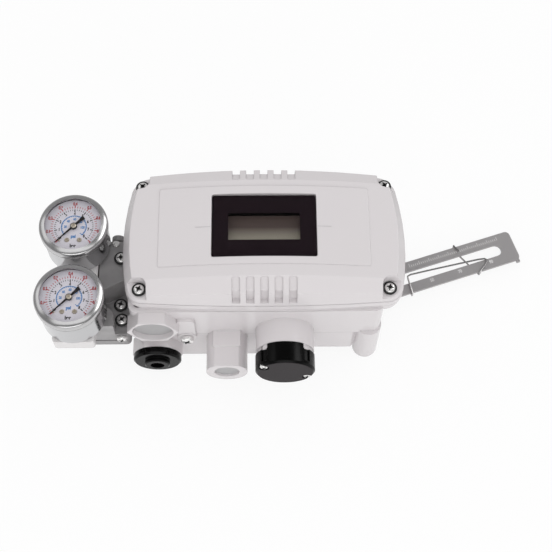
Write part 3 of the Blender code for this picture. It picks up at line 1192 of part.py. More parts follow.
def make_pilot_block():
    """Pilot valve block beside the housing: a base, the gauge pad and a raised valve tower."""
    base = block((pilot_left(), PILOT_LOW_Y, PILOT_BASE_LOW), (PILOT_RIGHT, PILOT_HIGH_Y, PILOT_BASE_HIGH), 0.003)
    pilot = add_part("pilot_block", base, BARE_CAST)
    pad_high = gauge_block_low() - GAP
    corner = 0.0060
    pad_outline = ([(pilot_left(), PILOT_LOW_Y), (PILOT_PAD_RIGHT, PILOT_LOW_Y)]
                   + arc((PILOT_PAD_RIGHT - corner, PILOT_PAD_TOP_Y - corner), corner, 0, 90, 5)
                   + [(GAUGE_X + GAUGE_BLOCK_HALF_WIDTH, PILOT_PAD_TOP_Y),
                      (GAUGE_X + GAUGE_BLOCK_HALF_WIDTH, PILOT_HIGH_Y - 0.002),
                      (pilot_left(), PILOT_HIGH_Y - 0.002)])
    join_to(pilot, add_tool("gauge_pad", flat_part([pad_outline], PILOT_BASE_HIGH - 0.001, pad_high)))
    tower_left = GAUGE_X + GAUGE_BLOCK_HALF_WIDTH + GAP
    tower_outline = [(PILOT_RIGHT, -0.0192), (PILOT_RIGHT, PILOT_TOWER_HIGH_Y), (tower_left, PILOT_TOWER_HIGH_Y),
                     (tower_left, -0.0262), (-0.0966, -0.0241), (-0.0867, -0.0192)]
    tower = flat_part([tower_outline], PILOT_BASE_HIGH - 0.001, PILOT_TOWER_HIGH)
    join_to(pilot, add_tool("valve_tower", tower))
    for index in range(3):
        y = PILOT_LOW_Y + 0.0130 + index * PORT_PITCH
        port = rod(PORT_RADIUS, pilot_left() - 0.001, pilot_left() + PORT_DEPTH, MEDIUM, "X",
                   (y, PILOT_BASE_LOW + 0.0118))
        cut_from(pilot, add_tool(f"air_port_{index}", port))
    bore_x = (tower_left + PILOT_RIGHT) / 2
    bore_z = (PILOT_BASE_HIGH + PILOT_TOWER_HIGH) / 2 - 0.002
    bore_low = PILOT_TOWER_HIGH_Y - SPOOL_LENGTH - 2 * SPOOL_TRAVEL - 2 * GAP
    cut_from(pilot, add_tool("spool_bore", rod(SPOOL_BORE_RADIUS, bore_low, PILOT_TOWER_HIGH_Y + 0.001, COARSE,
                                               "Y", (bore_x, bore_z))))
    spool = [(0, SPOOL_LENGTH / 2), (SPOOL_RADIUS, SPOOL_LENGTH / 2), (SPOOL_RADIUS, 0.0035), (0.0026, 0.0030),
             (0.0026, -0.0030), (SPOOL_RADIUS, -0.0035), (SPOOL_RADIUS, -SPOOL_LENGTH / 2),
             (0, -SPOOL_LENGTH / 2)]
    spool_y = (bore_low + PILOT_TOWER_HIGH_Y) / 2
    turned_part("pilot_spool", spool, CHROME, (bore_x, spool_y, bore_z), (math.radians(-90), 0, 0), COARSE)
    cap = block((tower_left + 0.0010, PILOT_TOWER_HIGH_Y + GAP, PILOT_BASE_HIGH + 0.0020),
                (PILOT_RIGHT - 0.0010, PILOT_TOWER_HIGH_Y + 0.0045, PILOT_TOWER_HIGH - 0.0015), 0.002, 1, 2)
    add_part("pilot_end_cap", cap, BARE_CAST)
    for name, x, y, height in BLOCK_SCREWS:
        cut_from(pilot, add_tool(name + "_hole", rod(SCREW_SHANK + GAP, height - SCREW_SHANK_LENGTH - GAP,
                                                     height + 0.001, COARSE, centre=(x, y))))
        add_screw(name, (x, y, height + GAP))
    cut_from(pilot, add_tool("side_screw_hole", rod(SCREW_SHANK + GAP, PILOT_LOW_Y - 0.001,
                                                    PILOT_LOW_Y + SCREW_SHANK_LENGTH + GAP, COARSE, "Y",
                                                    (SIDE_SCREW_X, SIDE_SCREW_Z))))
    add_screw("block_screw_5", (SIDE_SCREW_X, PILOT_LOW_Y - GAP, SIDE_SCREW_Z), (math.radians(90), 0, 0))


def make_pilot_plates():
    """Rubber gasket and cast plate that close the pilot block at the back."""
    gasket_high = PILOT_BASE_LOW - GAP
    gasket_low = gasket_high - PILOT_GASKET_THICKNESS
    inset = 0.0010
    add_part("pilot_gasket", block((pilot_left() + inset, PILOT_LOW_Y + inset, gasket_low),
                                   (PILOT_RIGHT - inset, PILOT_HIGH_Y - inset, gasket_high), 0.003), RUBBER)
    add_part("pilot_back_plate", block((pilot_left(), PILOT_LOW_Y, PILOT_PLATE_LOW),
                                       (PILOT_PLATE_RIGHT, PILOT_HIGH_Y, gasket_low - GAP), 0.003), BARE_CAST)


def make_gauge_block():
    """Pale block under the gauges, with a threaded hole for each gauge socket."""
    half = GAUGE_BLOCK_HALF_WIDTH
    gauge_block = add_part("gauge_block", block((GAUGE_X - half, GAUGE_BLOCK_LOW_Y, gauge_block_low()),
                                                (GAUGE_X + half - GAP, GAUGE_BLOCK_HIGH_Y, GAUGE_BLOCK_HIGH),
                                                0.002, segments=2), BLOCK_PAINT)
    for number, y in enumerate(GAUGE_YS, 1):
        cut_from(gauge_block, add_tool(f"gauge_thread_{number}",
                                       rod(GAUGE_SOCKET_RADIUS + GAP, GAUGE_BLOCK_HIGH - 0.0080,
                                           GAUGE_BLOCK_HIGH + 0.001, MEDIUM, centre=(GAUGE_X, y))))


def make_gauge(number, y):
    """Bourdon gauge: socket with its movement, cup-shaped case, dial, pointer, lens and bezel."""
    location = (GAUGE_X, y, 0)
    lens_high = GAUGE_TOP - GAUGE_BEZEL_LIP - GAP
    lens_low = lens_high - GAUGE_LENS_THICKNESS
    case_top = lens_low - GAP
    case_low = GAUGE_BLOCK_HIGH + GAP
    wall = GAUGE_CASE_WALL
    hole = GAUGE_SOCKET_RADIUS + 2 * GAP
    case = [(GAUGE_CASE_RADIUS - wall, case_top), (GAUGE_CASE_RADIUS, case_top),
            (GAUGE_CASE_RADIUS, case_low + 0.0010), (GAUGE_CASE_RADIUS - 0.0010, case_low), (hole, case_low),
            (hole, case_low + wall), (GAUGE_CASE_RADIUS - wall, case_low + wall)]
    turned_part(f"gauge_case_{number}", case, CHROME, location, closed=True)
    skirt = GAUGE_CASE_RADIUS + GAP
    bezel_low = GAUGE_TOP - GAUGE_BEZEL_HEIGHT
    bezel = [(GAUGE_OPENING, GAUGE_TOP - 0.0006), (GAUGE_OPENING + 0.0006, GAUGE_TOP),
             (GAUGE_RADIUS - 0.0006, GAUGE_TOP), (GAUGE_RADIUS, GAUGE_TOP - 0.0007), (GAUGE_RADIUS, bezel_low),
             (skirt, bezel_low), (skirt, GAUGE_TOP - GAUGE_BEZEL_LIP), (GAUGE_OPENING, GAUGE_TOP - GAUGE_BEZEL_LIP)]
    turned_part(f"gauge_bezel_{number}", bezel, CHROME, location, closed=True)
    lens_radius = GAUGE_CASE_RADIUS - 0.0002
    turned_part(f"gauge_lens_{number}", [(0, lens_high), (lens_radius, lens_high), (lens_radius, lens_low),
                                         (0, lens_low)], CLEAR, location)
    dial_high = GAUGE_TOP - GAUGE_DIAL_DEPTH
    dial_low = dial_high - GAUGE_DIAL_THICKNESS
    dial_radius = GAUGE_CASE_RADIUS - wall - GAP
    staff = 0.0012
    dial = [(staff + GAP, dial_high), (dial_radius, dial_high), (dial_radius, dial_low), (staff + GAP, dial_low)]
    turned_part(f"gauge_dial_{number}", dial, DIAL, location, closed=True)
    movement_high = dial_low - GAP
    staff_low = movement_high - 0.0040
    socket = [(0, staff_low - GAP), (staff + GAP, staff_low - GAP), (staff + GAP, movement_high),
              (0.0080, movement_high), (0.0080, case_low + wall + GAP), (GAUGE_SOCKET_RADIUS, case_low + wall + GAP),
              (GAUGE_SOCKET_RADIUS, GAUGE_BLOCK_HIGH - 0.0080 + GAP), (0, GAUGE_BLOCK_HIGH - 0.0080 + GAP)]
    turned_part(f"gauge_socket_{number}", socket, BRASS, location, steps=MEDIUM)
    make_pointer(number, location, dial_high, staff, staff_low)


def make_pointer(number, location, dial_high, staff, staff_low):
    """Black needle with a wide tail on a brass hub, lying over the zero of the dial."""
    low = dial_high + 0.0011
    high = low + 0.0004
    outline = [(POINTER_LENGTH, -0.00015), (POINTER_LENGTH, 0.00015), (0.0020, 0.0006), (-0.0020, 0.0007),
               (-POINTER_TAIL * 0.62, 0.0008), (-POINTER_TAIL, 0.0014), (-POINTER_TAIL * 1.05, 0),
               (-POINTER_TAIL, -0.0014), (-POINTER_TAIL * 0.62, -0.0008), (-0.0020, -0.0007), (0.0020, -0.0006)]
    outline.reverse()
    turn = (0, 0, math.radians(POINTER_ZERO_ANGLE))
    needle = add_part(f"gauge_pointer_{number}", flat_part([outline], low, high), NEEDLE, location, turn)
    join_to(needle, add_tool(f"pointer_hub_{number}", rod(0.0020, dial_high + GAP, high + 0.0004, COARSE),
                             location, turn))
    join_to(needle, add_tool(f"pointer_staff_{number}", rod(staff, staff_low, high, COARSE), location, turn))


make_housing()
make_lid()
make_gasket()
make_lid_screws()
make_window()
make_display()
make_board()
make_terminal_block()
make_torque_motor()
make_entry_plug()
make_vent_cap()
make_earth_screw()
make_shaft()
make_gears()
make_lever()
make_lever_spring()
make_lever_fasteners()
make_pilot_block()
make_pilot_plates()
make_gauge_block()
for gauge_number, gauge_y in enumerate(GAUGE_YS, 1):
    make_gauge(gauge_number, gauge_y)
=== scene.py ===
import bmesh
import bpy
import json
import math
from mathutils import Matrix, Vector


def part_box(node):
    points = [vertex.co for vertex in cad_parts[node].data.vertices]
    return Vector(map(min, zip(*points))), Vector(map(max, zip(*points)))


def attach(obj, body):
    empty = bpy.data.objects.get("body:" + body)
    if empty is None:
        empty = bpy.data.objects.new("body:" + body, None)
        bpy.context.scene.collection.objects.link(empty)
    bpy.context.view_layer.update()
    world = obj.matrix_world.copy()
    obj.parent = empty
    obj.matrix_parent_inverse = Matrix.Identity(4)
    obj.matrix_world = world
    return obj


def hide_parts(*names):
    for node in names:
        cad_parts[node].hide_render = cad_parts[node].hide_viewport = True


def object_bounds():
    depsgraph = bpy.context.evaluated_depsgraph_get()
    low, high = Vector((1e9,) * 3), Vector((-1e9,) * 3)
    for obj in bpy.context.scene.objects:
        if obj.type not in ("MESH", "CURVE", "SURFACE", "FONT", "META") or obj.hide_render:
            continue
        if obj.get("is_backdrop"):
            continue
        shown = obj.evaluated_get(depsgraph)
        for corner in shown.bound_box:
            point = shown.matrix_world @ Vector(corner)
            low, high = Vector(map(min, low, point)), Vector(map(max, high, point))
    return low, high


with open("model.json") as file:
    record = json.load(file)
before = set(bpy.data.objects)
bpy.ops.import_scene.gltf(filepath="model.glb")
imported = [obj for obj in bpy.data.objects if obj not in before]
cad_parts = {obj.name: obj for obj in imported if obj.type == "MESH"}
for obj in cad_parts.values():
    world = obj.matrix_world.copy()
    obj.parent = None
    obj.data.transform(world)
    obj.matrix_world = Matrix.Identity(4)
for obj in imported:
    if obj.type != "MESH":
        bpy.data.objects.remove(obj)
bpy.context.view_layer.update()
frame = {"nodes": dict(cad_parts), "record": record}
nodes = frame["nodes"]

# Camera: a long lens above the side of the cable entries, looking down on the lid. Its place was
# worked out from the outline of the lid and the two gauges.
lid_low, lid_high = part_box("lid")
middle = Vector(((lid_low.x + lid_high.x) / 2, (lid_low.y + lid_high.y) / 2, 0))
camera = bpy.data.objects.new("camera", bpy.data.cameras.new("camera"))
bpy.context.scene.collection.objects.link(camera)
camera.data.sensor_width = 36
camera.data.lens = 78.26
elevation = math.radians(64.9)
distance = 0.700
roll = Matrix.Rotation(math.radians(1.19), 4, "Z")
target = middle + Vector((0.0067, -0.0329, 0.0970))
turn = Matrix.Rotation(math.radians(-1.72), 4, "Z") @ Matrix.Rotation(math.radians(90) - elevation, 4, "X")
camera.matrix_world = Matrix.Translation(target + turn @ Vector((0, 0, distance))) @ turn @ roll
camera.data.clip_start = 0.05
camera.data.clip_end = 50
bpy.context.scene.camera = camera
bpy.context.scene.view_settings.view_transform = "Standard"


# Shader maths: a Field is a socket that can be added, multiplied and so on, a Graph is the node tree
# that owns it, and a Finish is the Principled shader of one material.
class Field:
    def __init__(self, socket):
        self.socket = socket

    def maths(self, operation, first, second=None):
        tree = self.socket.id_data
        step = tree.nodes.new("ShaderNodeMath")
        step.operation = operation
        for slot, value in zip(step.inputs, (first, second)):
            if isinstance(value, Field):
                tree.links.new(value.socket, slot)
            elif value is not None:
                slot.default_value = value
        return Field(step.outputs[0])

    def __add__(self, other):
        return self.maths("ADD", self, other)

    def __sub__(self, other):
        return self.maths("SUBTRACT", self, other)

    def __rsub__(self, other):
        return self.maths("SUBTRACT", other, self)

    def __mul__(self, other):
        return self.maths("MULTIPLY", self, other)

    def __truediv__(self, other):
        return self.maths("DIVIDE", self, other)

    def __abs__(self):
        return self.maths("ABSOLUTE", self)

    def limited(self):
        return self.maths("MAXIMUM", self.maths("MINIMUM", self, 1.0), 0.0)

    def within(self, centre, half, soft):
        return (0.5 + (half - abs(self - centre)) / soft).limited()

    __radd__ = __add__
    __rmul__ = __mul__


class Graph:
    def __init__(self, tree):
        self.tree = tree

    def feed(self, slot, value):
        if isinstance(value, Field):
            self.tree.links.new(value.socket, slot)
        else:
            slot.default_value = value

    def node(self, kind, settings=None, sockets=None, output=0):
        made = self.tree.nodes.new(kind)
        for name, value in (settings or {}).items():
            setattr(made, name, value)
        for name, value in (sockets or {}).items():
            self.feed(made.inputs[name], value)
        return Field(made.outputs[output])

    def blend(self, amount, first, second):
        return self.node("ShaderNodeMix", {"data_type": "RGBA"}, {0: amount, 6: first, 7: second}, 2)

    def split(self, vector):
        return [self.node("ShaderNodeSeparateXYZ", None, {0: vector}, axis) for axis in range(3)]


class Finish(Graph):
    """A shader whose roughness varies a little from place to place, as that of every real surface does."""
    def __init__(self, name, colour, roughness, metallic=0.0, grain=300, **plain):
        self.material = bpy.data.materials.new(name)
        self.material.use_nodes = True
        super().__init__(self.material.node_tree)
        self.shader = self.tree.nodes["Principled BSDF"]
        self.set("Base Color", (*colour, 1.0))
        self.set("Roughness", roughness * (0.8 + 0.4 * self.noise(grain)))
        self.set("Metallic", metallic)
        for socket, value in plain.items():
            self.set(socket.replace("_", " "), value)

    def set(self, socket, value):
        self.feed(self.shader.inputs[socket], value)

    def place(self):
        return self.node("ShaderNodeTexCoord", output="Object")

    def noise(self, scale, detail=2.0, roughness=0.5):
        sockets = {"Vector": self.place(), "Scale": scale, "Detail": detail, "Roughness": roughness}
        return self.node("ShaderNodeTexNoise", None, sockets, "Fac")

    def bump(self, height, strength, distance, normal=None):
        sockets = {"Height": height, "Strength": strength, "Distance": distance}
        if normal is not None:
            sockets["Normal"] = normal
        self.set("Normal", self.node("ShaderNodeBump", None, sockets))

    def soft_edges(self, radius):
        return self.node("ShaderNodeBevel", {"samples": 8}, {"Radius": radius})


# Studio: a white sweep under the object, evenly lit from all round. Gloss mirrors a darker room with
# four soft boxes instead, and a darker sweep behind the object.
floor = Finish("studio_floor", (0.90, 0.90, 0.90), 0.9)
seen = floor.node("ShaderNodeLightPath", output="Is Camera Ray")
seen = seen + floor.node("ShaderNodeLightPath", output="Is Transmission Ray")
mirrored = floor.node("ShaderNodeLightPath", output="Is Glossy Ray")
behind_start, behind_fade = 0.06, 0.10
behind = (0.5 + (floor.split(floor.place())[1] - behind_start) / behind_fade).limited()
glow_colour = floor.blend(mirrored * behind, (1, 1, 1, 1), (0.36, 0.36, 0.36, 1))
glow = floor.node("ShaderNodeEmission", None, {"Color": glow_colour, "Strength": 1.0})
glow_share = seen * 0.88 + mirrored * 0.78
sweep = floor.node("ShaderNodeMixShader", None, {0: glow_share, 1: Field(floor.shader.outputs[0]), 2: glow})
floor.tree.links.new(sweep.socket, floor.tree.nodes["Material Output"].inputs["Surface"])
shape = bmesh.new()
bmesh.ops.create_grid(shape, x_segments=1, y_segments=1, size=4)
bmesh.ops.translate(shape, vec=(0, 0, -0.0002), verts=shape.verts)
mesh = bpy.data.meshes.new("studio_floor")
shape.to_mesh(mesh)
shape.free()
mesh.materials.append(floor.material)
ground = bpy.data.objects.new("studio_floor", mesh)
bpy.context.scene.collection.objects.link(ground)
ground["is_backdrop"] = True

world = bpy.data.worlds.new("studio")
bpy.context.scene.world = world
world.use_nodes = True
room = Graph(world.node_tree)
east, north, up = room.split(room.node("ShaderNodeTexCoord", output="Generated"))
above = up.limited()
overhead_box = above * north.within(-0.28, 0.15, 0.06) * east.within(0.0, 0.50, 0.10)
right_box = east.within(0.68, 0.14, 0.06) * up.within(0.55, 0.30, 0.10) * north.within(0.30, 0.36, 0.10)
left_box = east.within(-0.68, 0.12, 0.06) * up.within(0.60, 0.22, 0.10) * north.within(0.30, 0.30, 0.10)
front_box = north.within(-0.88, 0.09, 0.06) * up.within(0.42, 0.14, 0.08)
mirror_room = (0.26 + 0.16 * (1.0 - above) + 1.0 * overhead_box + 3.0 * right_box + 0.8 * left_box
               + 2.0 * front_box)
even_light = 0.62 + 0.30 * (up * 2.0).limited()
glossy = room.node("ShaderNodeLightPath", output="Is Glossy Ray")
backdrop = room.node("ShaderNodeLightPath", output="Is Camera Ray")
room.feed(room.tree.nodes["Background"].inputs["Color"],
          room.blend(backdrop, room.blend(glossy, even_light, mirror_room), (1, 1, 1, 1)))


def lamp(name, place, aim, width, height, power):
    light = bpy.data.lights.new(name, "AREA")
    light.shape = "RECTANGLE"
    light.size = width
    light.size_y = height
    light.energy = power
    holder = bpy.data.objects.new(name, light)
    bpy.context.scene.collection.objects.link(holder)
    holder.location = place
    holder.rotation_euler = (Vector(aim) - Vector(place)).to_track_quat("-Z", "Y").to_euler()
    holder.visible_glossy = False


lamp("overhead", (0.15, -0.25, 1.3), (0, 0, 0), 0.9, 0.9, 1.6)
lamp("front_fill", (0.10, -1.3, 0.45), (0, 0, 0.04), 0.9, 0.6, 3.0)


# Housing and lid: die-cast aluminium under smooth light grey powder coat, screwed together. Each is the
# solid part's own shape with its facets merged, so that its rounded corners shade smoothly.
def powder_coat(name, colour, edge):
    paint = Finish(name, colour, 0.20, grain=90)
    darker = [0.96 * channel for channel in colour]
    paint.set("Base Color", paint.blend(0.5 * paint.noise(35, 3), (*colour, 1), (*darker, 1)))
    paint.bump(paint.noise(900, 2), 0.08, 0.0001, paint.soft_edges(edge))
    return paint


def piece(name, shape, finish, body, replaced=(), sharp=35, keep_normals=False):
    if not keep_normals:
        bmesh.ops.recalc_face_normals(shape, faces=shape.faces)
    for face in shape.faces:
        face.smooth = True
    for edge in shape.edges:
        edge.smooth = len(edge.link_faces) == 2 and edge.calc_face_angle(0) < math.radians(sharp)
    mesh = bpy.data.meshes.new(name)
    shape.to_mesh(mesh)
    shape.free()
    mesh.materials.append(finish.material)
    made = bpy.data.objects.new(name, mesh)
    bpy.context.scene.collection.objects.link(made)
    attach(made, body)
    if replaced:
        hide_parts(*replaced)
    return made


body_of = {node: body for body, members in frame["record"]["behaviour"]["bodies"].items() for node in members}


def merged(node, finish, sharp=35):
    shape = bmesh.new()
    shape.from_mesh(nodes[node].data)
    bmesh.ops.remove_doubles(shape, verts=shape.verts, dist=0.000004)
    bmesh.ops.dissolve_limit(shape, angle_limit=math.radians(0.6), verts=shape.verts, edges=shape.edges)
    made = piece(node + "_finished", shape, finish, body_of[node], (node,), sharp, True)
    weighted = made.modifiers.new("weighted_normals", "WEIGHTED_NORMAL")
    weighted.keep_sharp = True
    weighted.weight = 60


coat = powder_coat("light_grey_powder_coat", (0.690, 0.658, 0.668), 0.0010)
merged("housing_body", coat)
merged("lid", coat, 20)

# Mould lines either side of the window: fine marks left in the casting, under the paint. They are thin
# flat strips bent to the crown of the lid.
window_low, window_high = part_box("window_pane")
crown_drop, crown_reach = 0.0045, 0.063
line_width, line_gap = 0.0004, 0.0008
line_paint = Finish("mould_line_paint", (0.50, 0.48, 0.49), 0.4)
shape = bmesh.new()
for start, end in ((window_low.x - 0.0100, window_low.x - line_gap),
                   (window_high.x + line_gap, window_high.x + 0.0090)):
    centre = ((start + end) / 2, middle.y + 0.0004, window_high.z + 0.00116)
    strip = Matrix.Diagonal((end - start, line_width, 1, 1))
    bmesh.ops.create_grid(shape, x_segments=8, y_segments=1, size=0.5,
                          matrix=Matrix.Translation(centre) @ strip)
for vertex in shape.verts:
    vertex.co.z -= crown_drop * ((vertex.co.x - middle.x) / crown_reach) ** 2
piece("mould_lines", shape, line_paint, "body", keep_normals=True)

# Gauge block: die-cast like the housing and painted a shade paler. It sits on the pilot valve block and
# takes the threaded sockets of the two gauges.
merged("gauge_block", powder_coat("pale_powder_coat", (0.74, 0.72, 0.72), 0.0008))

# Seals in the open cable entry and in the auxiliary port: grey paper discs pressed a little way in,
# which keep dirt out until the cable and the pipe are fitted.
seal_thickness = 0.0003
paper = Finish("seal_paper", (0.40, 0.395, 0.40), 0.45)
for name, place, radius in (("entry_seal", (-0.0680, -0.0470, 0.0550), 0.0124),
                            ("auxiliary_seal", (-0.0236, -0.0655, 0.0295), 0.0077)):
    shape = bmesh.new()
    bmesh.ops.create_cone(shape, cap_ends=True, segments=64, radius1=radius, radius2=radius,
                          depth=seal_thickness, matrix=Matrix.Translation(middle + Vector(place))
                          @ Matrix.Rotation(math.radians(90), 4, "X"))
    piece(name, shape, paper, "body")

# Gaskets: flat black rubber squeezed in a joint, one between the lid and the rim of the housing and one
# between the pilot valve block and its back plate.
rubber = Finish("black_rubber", (0.02, 0.02, 0.02), 0.75)
rubber.bump(rubber.noise(700, 2), 0.2, 0.0001)
for node in ("lid_gasket", "pilot_gasket"):
    merged(node, rubber)

# Pilot valve block with its back plate and end cap: cast aluminium left bare and tumbled to a dull grey,
# screwed together beside the housing.
cast = Finish("bare_cast_metal", (0.32, 0.31, 0.31), 0.46, 0.55, grain=250)
cast.set("Base Color", cast.blend(cast.noise(60, 4), (0.50, 0.49, 0.49, 1), (0.24, 0.23, 0.235, 1)))
cast.bump(cast.noise(650, 4, 0.6), 0.35, 0.00015, cast.soft_edges(0.0006))
for node in ("pilot_block", "pilot_end_cap", "pilot_back_plate"):
    merged(node, cast)

# Screws: plated steel, pan heads with a cross recess cut into the crown; the recess is painted dark
# metal as painted shade. Those of the lid and most of those of the pilot block stand on a black ring.
plated = Finish("plated_screw_steel", (0.90, 0.89, 0.88), 0.24, 0.75, grain=400)


def turned(profile, matrix, steps=64):
    """A solid of revolution round Z from points (radius, height), put in place by matrix."""
    shape = bmesh.new()
    corners = [shape.verts.new((radius, 0, height)) for radius, height in profile]
    edges = [shape.edges.new(pair) for pair in zip(corners, corners[1:])]
    bmesh.ops.spin(shape, geom=corners + edges, axis=(0, 0, 1), cent=(0, 0, 0), dvec=(0, 0, 0),
                   angle=2 * math.pi, steps=steps, use_merge=True)
    bmesh.ops.remove_doubles(shape, verts=shape.verts, dist=0.0000005)
    bmesh.ops.transform(shape, matrix=matrix, verts=shape.verts)
    return shape


def carve(shape, cutter):
    """The shape with the cutter's space taken out of it."""
    holders = []
    for name, source in (("carved", shape), ("cutter", cutter)):
        bmesh.ops.recalc_face_normals(source, faces=source.faces)
        mesh = bpy.data.meshes.new(name)
        source.to_mesh(mesh)
        source.free()
        holders.append(bpy.data.objects.new(name, mesh))
        bpy.context.scene.collection.objects.link(holders[-1])
    cut = holders[0].modifiers.new("cut", "BOOLEAN")
    cut.object = holders[1]
    cut.solver = "EXACT"
    bpy.context.view_layer.update()
    result = bmesh.new()
    result.from_object(holders[0], bpy.context.evaluated_depsgraph_get())
    for holder in holders:
        bpy.data.objects.remove(holder)
    return result


def screw_shape(head, height, shank, length):
    """Pan head above Z 0 with a cross recess, and its shank below."""
    profile = [(0, -length), (shank * 0.8, -length), (shank, -length + 0.0004), (shank, 0),
               (head - 0.0001, 0), (head, 0.0002), (head, height * 0.40)]
    for step in range(1, 7):
        lift = math.radians(90) * step / 6
        profile.append((head * (0.30 + 0.70 * math.cos(lift)) if step < 6 else head * 0.30,
                        height * (0.40 + 0.60 * math.sin(lift))))
    profile.append((0, height))
    pit = bmesh.new()
    bmesh.ops.create_cone(pit, cap_ends=True, segments=16, radius1=head * 0.10, radius2=head * 0.42,
                          depth=height * 0.95, matrix=Matrix.Translation((0, 0, height * 0.68)))
    shape = turned(profile, Matrix.Identity(4), 32)
    blades = []
    for turn_z in (45, 135):
        blade = bmesh.new()
        bmesh.ops.create_cube(blade, size=1, matrix=Matrix.Rotation(math.radians(turn_z), 4, "Z")
                              @ Matrix.Translation((0, 0, height))
                              @ Matrix.Diagonal((head * 1.30, head * 0.26, height, 1)))
        blades.append(blade)
    for cutter in (*blades, pit):
        shape = carve(shape, cutter)
    # Faces of the cross recess and the pit take material slot 1: dark metal, painted shade in the recess.
    for face in shape.faces:
        centre = face.calc_center_median()
        if centre.xy.length < head * 0.68 and 0 < centre.z < height * 0.82:
            face.material_index = 1
    return shape


def ring(radius, thickness, matrix):
    """A round-section ring; its profile closes on itself and stays off the axis."""
    sides = 12
    profile = [(radius + thickness * math.cos(math.radians(360 * i / sides)),
                thickness * math.sin(math.radians(360 * i / sides))) for i in range(sides + 1)]
    return turned(profile, matrix, 48)


lid_head, cap_head, earth_head = 0.0026, 0.0022, 0.0030
collar_radius, collar_thickness = 0.0037, 0.0006
# Painted shade: dark metal for the inside of the cross recess, where shade falls.
recess_painted_shade = Finish("screw_recess_painted_shade", (0.12, 0.115, 0.115), 0.4, 1.0)
screw_master = screw_shape(0.0032, lid_head, 0.0018, 0.0070)
cap_master = screw_shape(0.0026, cap_head, 0.0013, 0.0136)
facing_front = Matrix.Rotation(math.radians(90), 4, "X")


def fit_screw(node, master, head_height, spin_angle, forward=False, ringed=True):
    low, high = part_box(node)
    seat = Vector(((low.x + high.x) / 2, (low.y + high.y) / 2, high.z - head_height))
    if forward:
        seat = Vector(((low.x + high.x) / 2, low.y + head_height, (low.z + high.z) / 2))
    matrix = Matrix.Translation(seat) @ (facing_front if forward else Matrix.Identity(4))
    shape = master.copy()
    spin = Matrix.Rotation(math.radians(spin_angle), 4, "Z")
    bmesh.ops.transform(shape, matrix=matrix @ spin, verts=shape.verts)
    screw = piece(node + "_finished", shape, plated, "body", (node,), 30)
    # The second material is the painted shade of the cross recess.
    screw.data.materials.append(recess_painted_shade.material)
    if ringed:
        collar = ring(collar_radius, collar_thickness, matrix @ Matrix.Translation((0, 0, 0.0007)))
        piece(node + "_ring", collar, rubber, "body")


for node, spin_angle in (("lid_screw_1", 20), ("lid_screw_2", 5), ("lid_screw_3", 32), ("lid_screw_4", -15)):
    fit_screw(node, screw_master, lid_head, spin_angle)
for node, spin_angle, ringed in (("block_screw_1", 12, False), ("block_screw_2", 50, True),
                                 ("block_screw_3", 28, True), ("block_screw_4", -8, True)):
    fit_screw(node, screw_master, lid_head, spin_angle, ringed=ringed)
fit_screw("block_screw_5", screw_master, lid_head, 22, True, False)
fit_screw("cap_screw_1", cap_master, cap_head, 10, True, False)
fit_screw("cap_screw_2", cap_master, cap_head, 35, True, False)
earth_master = screw_shape(0.0042, earth_head, 0.0020, 0.0070)
fit_screw("earth_screw", earth_master, earth_head, 15, True, False)
for master in (screw_master, cap_master, earth_master):
    master.free()
merged("lever_nut", plated)

# Adjusting screw of the pilot valve: a plain round knob of dull metal on the end cap, and the small
# plated screw that locks it.
end_low, end_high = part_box("pilot_end_cap")
knob_axis = Vector(((end_low.x + end_high.x) / 2 + 0.0010, end_high.y, end_high.z - 0.0045))
knob = turned([(0, -0.0005), (0.0026, -0.0005), (0.0026, 0.0012), (0.0038, 0.0014), (0.0040, 0.0018),
               (0.0040, 0.0046), (0.0037, 0.0050), (0, 0.0050)],
              Matrix.Translation(knob_axis) @ Matrix.Rotation(math.radians(-90), 4, "X"), 36)
piece("adjusting_knob", knob, cast, "body")
lock_axis = (knob_axis.x - 0.0008, end_high.y - 0.0022, end_high.z)
lock_screw = turned([(0, 0), (0.0022, 0), (0.0022, 0.0010), (0.0017, 0.0016), (0.0006, 0.0018),
                     (0.0005, 0.0010), (0, 0.0010)], Matrix.Translation(lock_axis), 32)
piece("lock_screw", lock_screw, plated, "body")

# Black moulded plastic: the vent cap, glossy at the side with a rougher textured face whose greyer
# colour is painted light, and held by two screws, the blanking plug screwed into the rear entry, and the
# small pieces inside.
black = Finish("black_moulding", (0.003, 0.0028, 0.003), 0.16, Specular_IOR_Level=0.11)
black.bump(black.noise(500, 2), 0.1, 0.0001, black.soft_edges(0.0005))
grained = Finish("black_cap_moulding", (0.001, 0.001, 0.001), 0.22, Specular_IOR_Level=0.11)
face_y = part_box("vent_cap")[0].y
face_depth = 0.0002
textured_and_painted_lit_face = (0.5 + (face_y + face_depth - grained.split(grained.place())[1]) / face_depth).limited()
# The face's lighter base colour is painted light on the face; its higher roughness is the real texture.
grained.set("Base Color", grained.blend(textured_and_painted_lit_face, (0.001, 0.001, 0.001, 1), (0.040, 0.036, 0.038, 1)))
grained.set("Roughness", 0.22 + 0.38 * textured_and_painted_lit_face)
grained.bump(grained.noise(500, 2), 0.1, 0.0001, grained.soft_edges(0.0006))
merged("vent_cap", grained)
for node in ("entry_plug", "display_frame", "position_sensor", *[f"push_button_{i}" for i in range(1, 5)]):
    merged(node, black)

# Window: a clear plastic pane let into the lid over a near-black, slightly plum print, and the display
# glass behind the print's opening, painted olive below as a painted reflection and darker above as painted
# shade.
pane = Finish("clear_pane", (0.0, 0.0, 0.0), 0.04, Alpha=0.10, Specular_IOR_Level=0.3)
merged("window_pane", pane)
print_ink = Finish("dark_window_print", (0.016, 0.0085, 0.0125), 0.5, Specular_IOR_Level=0.1)
merged("window_mask", print_ink)
crystal = Finish("display_crystal_painted_light", (0.09, 0.08, 0.075), 0.35, Specular_IOR_Level=0.2)
